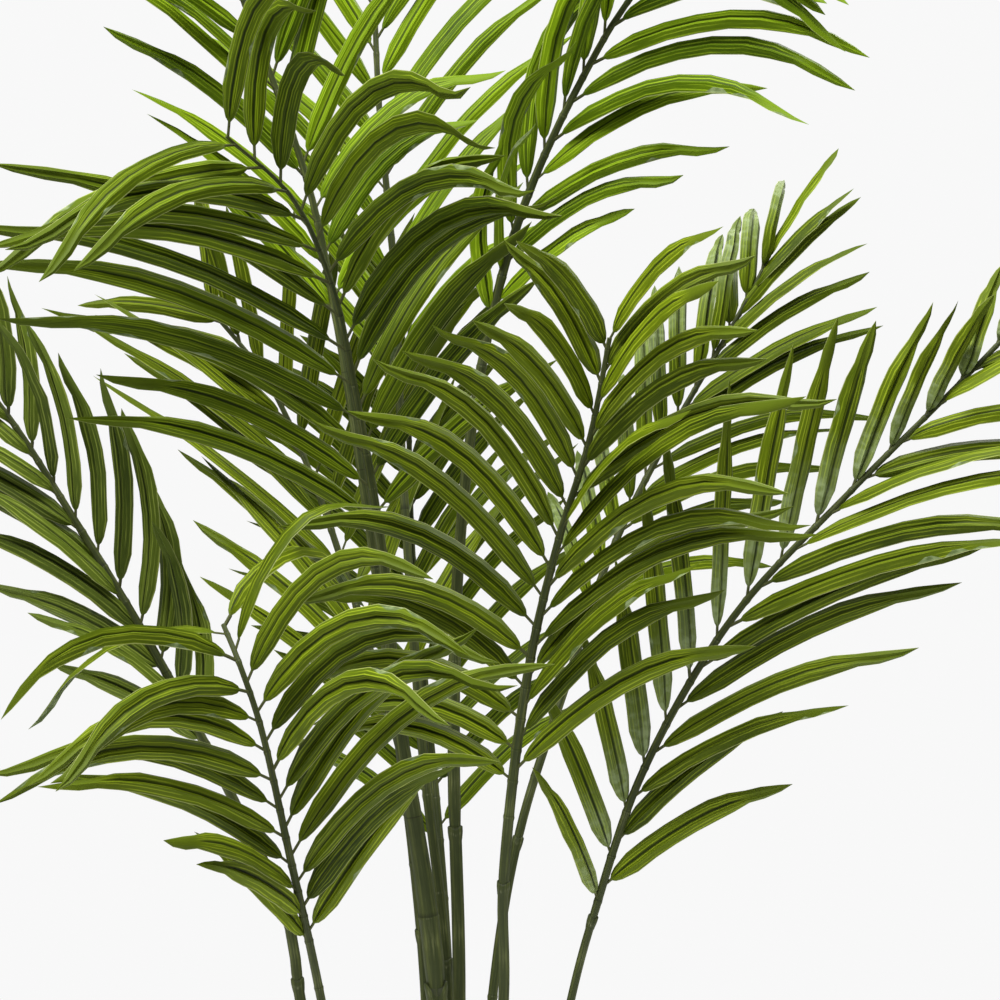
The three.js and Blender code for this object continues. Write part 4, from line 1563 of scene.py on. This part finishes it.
@dataclass
class Moss:
    """A lumpy layer of dried moss with loose tufts on it."""

    rings: int = 22
    sides: int = 72
    lump: float = 0.011
    tufts: int = 620
    tuft_length: float = 0.013
    seed: int = 12

    def build(self, material: bpy.types.Material) -> list[bpy.types.Object]:
        """Builds the layer and its tufts in the space of their solid.

        Args:
            material: The moss's material.

        Returns:
            The layer and the tufts.
        """
        low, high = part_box("moss_layer")
        radius = (high.x - low.x) / 2
        layer = Bench.new(bpy.ops.mesh.primitive_circle_add, vertices=self.sides, radius=radius,
                          fill_type="NGON", location=(0, 0, low.z + 0.001))
        Bench.edit(layer)
        bpy.ops.mesh.select_all(action="SELECT")
        bpy.ops.mesh.extrude_region_move(TRANSFORM_OT_translate={"value": (0, 0, (high.z - low.z) * 0.5)})
        for _ in range(self.rings):
            bpy.ops.mesh.inset(thickness=radius / (self.rings + 1))
        bpy.ops.mesh.poke()
        bpy.ops.mesh.select_all(action="SELECT")
        bpy.ops.mesh.normals_make_consistent(inside=False)
        Bench.done()
        layer.name = layer.data.name = "moss_cushion"
        self._heap(layer, radius, low.z, high.z)
        Bench.smooth(layer, 60)
        pieces = [hand_over(layer, material, "moss", "moss_layer")]
        pieces.append(hand_over(self._scatter(layer, radius), material, "moss"))
        return pieces

    def _heap(self, layer: bpy.types.Object, radius: float, low: float, high: float) -> None:
        """Raises the layer's top into lumps that fall away to the pot's wall."""
        lumps = bpy.data.textures.new("moss_lumps", "CLOUDS")
        lumps.noise_scale = 0.022
        lumps.noise_depth = 3
        top = layer.vertex_groups.new(name="top")
        for vertex in layer.data.vertices:
            if vertex.co.z > low + 0.003:
                inward = 1 - (Vector(vertex.co.xy).length / radius) ** 4
                top.add([vertex.index], max(0.0, inward), "REPLACE")
        Bench.modify(layer, "DISPLACE", texture=lumps, strength=self.lump * 2, mid_level=0.35,
                     direction="Z", vertex_group="top", texture_coords="LOCAL")
        for vertex in layer.data.vertices:
            vertex.co.z = min(vertex.co.z, high + 0.006)

    def _scatter(self, layer: bpy.types.Object, radius: float) -> bpy.types.Object:
        """Scatters bent tufts over the layer's top and joins them."""
        blade = Bench.new(bpy.ops.mesh.primitive_cone_add, vertices=3, radius1=0.0009, radius2=0.0002,
                          depth=1.0, location=(0, 0, 0.5))
        Bench.edit(blade)
        Bench.pick_edges(blade, lambda a, b: abs(a.z - b.z) > 0.5)
        bpy.ops.mesh.subdivide(number_cuts=2)
        Bench.done()
        shape = np.array([vertex.co for vertex in blade.data.vertices])
        tops = np.array([v.co for v in layer.data.vertices
                         if v.normal.z > 0.2 and Vector(v.co.xy).length < radius * 0.97])
        chooser = np.random.default_rng(self.seed)
        copies = []
        for _ in range(self.tufts):
            root = tops[chooser.integers(len(tops))] + chooser.uniform(-0.002, 0.002, 3)
            heading = chooser.uniform(0, 2 * math.pi)
            length = self.tuft_length * chooser.uniform(0.5, 1.3)
            lean = chooser.uniform(0.5, 1.5)
            angle = lean * (0.35 + 0.65 * shape[:, 2])
            along = shape[:, 2] * length
            x = shape[:, 0] + along * np.sin(angle)
            places = np.stack((
                root[0] + x * math.cos(heading) - shape[:, 1] * math.sin(heading),
                root[1] + x * math.sin(heading) + shape[:, 1] * math.cos(heading),
                root[2] - 0.001 + along * np.cos(angle),
            ), 1)
            mesh = blade.data.copy()
            mesh.vertices.foreach_set("co", places.ravel())
            copy = bpy.data.objects.new("tuft", mesh)
            bpy.context.scene.collection.objects.link(copy)
            copies.append(copy)
        bpy.data.objects.remove(blade)
        tufts = Bench.join(copies, "moss_tufts")
        Bench.smooth(tufts, 80)
        return tufts


# ---- The studio ----


@dataclass
class Studio:
    """The camera, the floor and the soft light."""

    camera_place: Point = (0.057, -2.17, 1.03)
    lens: float = 86.8
    floor_radius: float = 2.6
    backdrop: float = 0.94
    key_power: float = 265.0
    key_size: float = 1.8
    key_place: Point = (-0.6, -1.7, 3.9)
    rim_power: float = 45.0
    rim_place: Point = (1.2, 1.6, 3.0)
    aim: Point = (0.0, 0.0, 1.0)
    sky: float = 0.5
    ground: float = 0.13

    def camera(self) -> None:
        """Sets up the camera, level and square to the front."""
        data = bpy.data.cameras.new("camera")
        data.sensor_width = 36
        data.lens = self.lens
        camera = bpy.data.objects.new("camera", data)
        camera.location = self.camera_place
        camera.rotation_euler = (math.pi / 2, 0, 0)
        bpy.context.scene.collection.objects.link(camera)
        bpy.context.scene.camera = camera

    def stage(self) -> None:
        """Lays the floor and hangs the lights."""
        floor = Bench.new(bpy.ops.mesh.primitive_circle_add, vertices=128, radius=self.floor_radius,
                          fill_type="NGON")
        floor.name = "studio_floor"
        floor.data.materials.append(FloorFinish().make("studio_floor"))
        self._softbox("key_light", self.key_place, self.key_power, self.key_size)
        self._softbox("rim_light", self.rim_place, self.rim_power, self.key_size)
        self._surroundings()
        bpy.context.scene.view_settings.view_transform = "Standard"

    def _softbox(self, name: str, place: Point, power: float, size: float) -> None:
        """Hangs one large soft light that looks at the palm."""
        data = bpy.data.lights.new(name, "AREA")
        data.energy = power
        data.size = size
        light = bpy.data.objects.new(name, data)
        light.location = place
        light.rotation_euler = (Vector(self.aim) - Vector(place)).to_track_quat("-Z", "Y").to_euler()
        light.visible_camera = False
        bpy.context.scene.collection.objects.link(light)

    def _surroundings(self) -> None:
        """A plain white room, lighter above than below, behind the palm and in its light."""
        world = bpy.data.worlds.new("studio")
        bpy.context.scene.world = world
        world.use_nodes = True
        board = Board(world.node_tree)
        _, _, up = board.split(board.read(board.add("ShaderNodeTexCoord"), "Generated"))
        light = board.blend(up.rise(-0.6, 0.8), (self.ground,) * 3 + (1.0,), (self.sky,) * 3 + (1.0,))
        seen = board.read(board.add("ShaderNodeLightPath"), "Is Camera Ray")
        plain = (self.backdrop,) * 3 + (1.0,)
        room = board.add("ShaderNodeBackground", None, {"Color": board.blend(seen, light, plain)})
        board.add("ShaderNodeOutputWorld", None, {"Surface": board.read(room)})


# ---- The whole palm ----


@dataclass
class Palm:
    """The potted palm: its fronds grown together, then its pieces built and dressed."""

    fronds: list[Frond] = field(default_factory=lambda: [Frond(plan, i) for i, plan in enumerate(PLANS)])

    def grow(self) -> None:
        """Grows all the leaflets, with room kept between the fronds."""
        room = Room()
        for frond in self.fronds:
            frond.claim_core(room)
        for frond in self.fronds:
            frond.grow(room)

    def build(self) -> None:
        """Builds and dresses every piece."""
        stem = StemFinish().make("palm_stem")
        leaves = {tone: finish.make("leaf_" + tone.value) for tone, finish in LEAF_FINISHES.items()}
        pattern = LeafletPattern()
        for frond in self.fronds:
            pieces = FrondPieces(frond)
            pieces.stem(stem)
            pieces.rachis(stem)
            pieces.leaflets(pattern, leaves[frond.plan.tone])
        Pot().build(PotFinish().make("pot_plastic"))
        Moss().build(MossFinish().make("dried_moss"))
        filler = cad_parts["filler"]
        filler.data.materials.clear()
        filler.data.materials.append(CementFinish().make("cement"))


def main() -> None:
    """Builds the studio and the palm."""
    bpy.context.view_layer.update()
    studio = Studio()
    studio.camera()
    palm = Palm()
    palm.grow()
    palm.build()
    studio.stage()


if __name__ == "__main__":
    main()
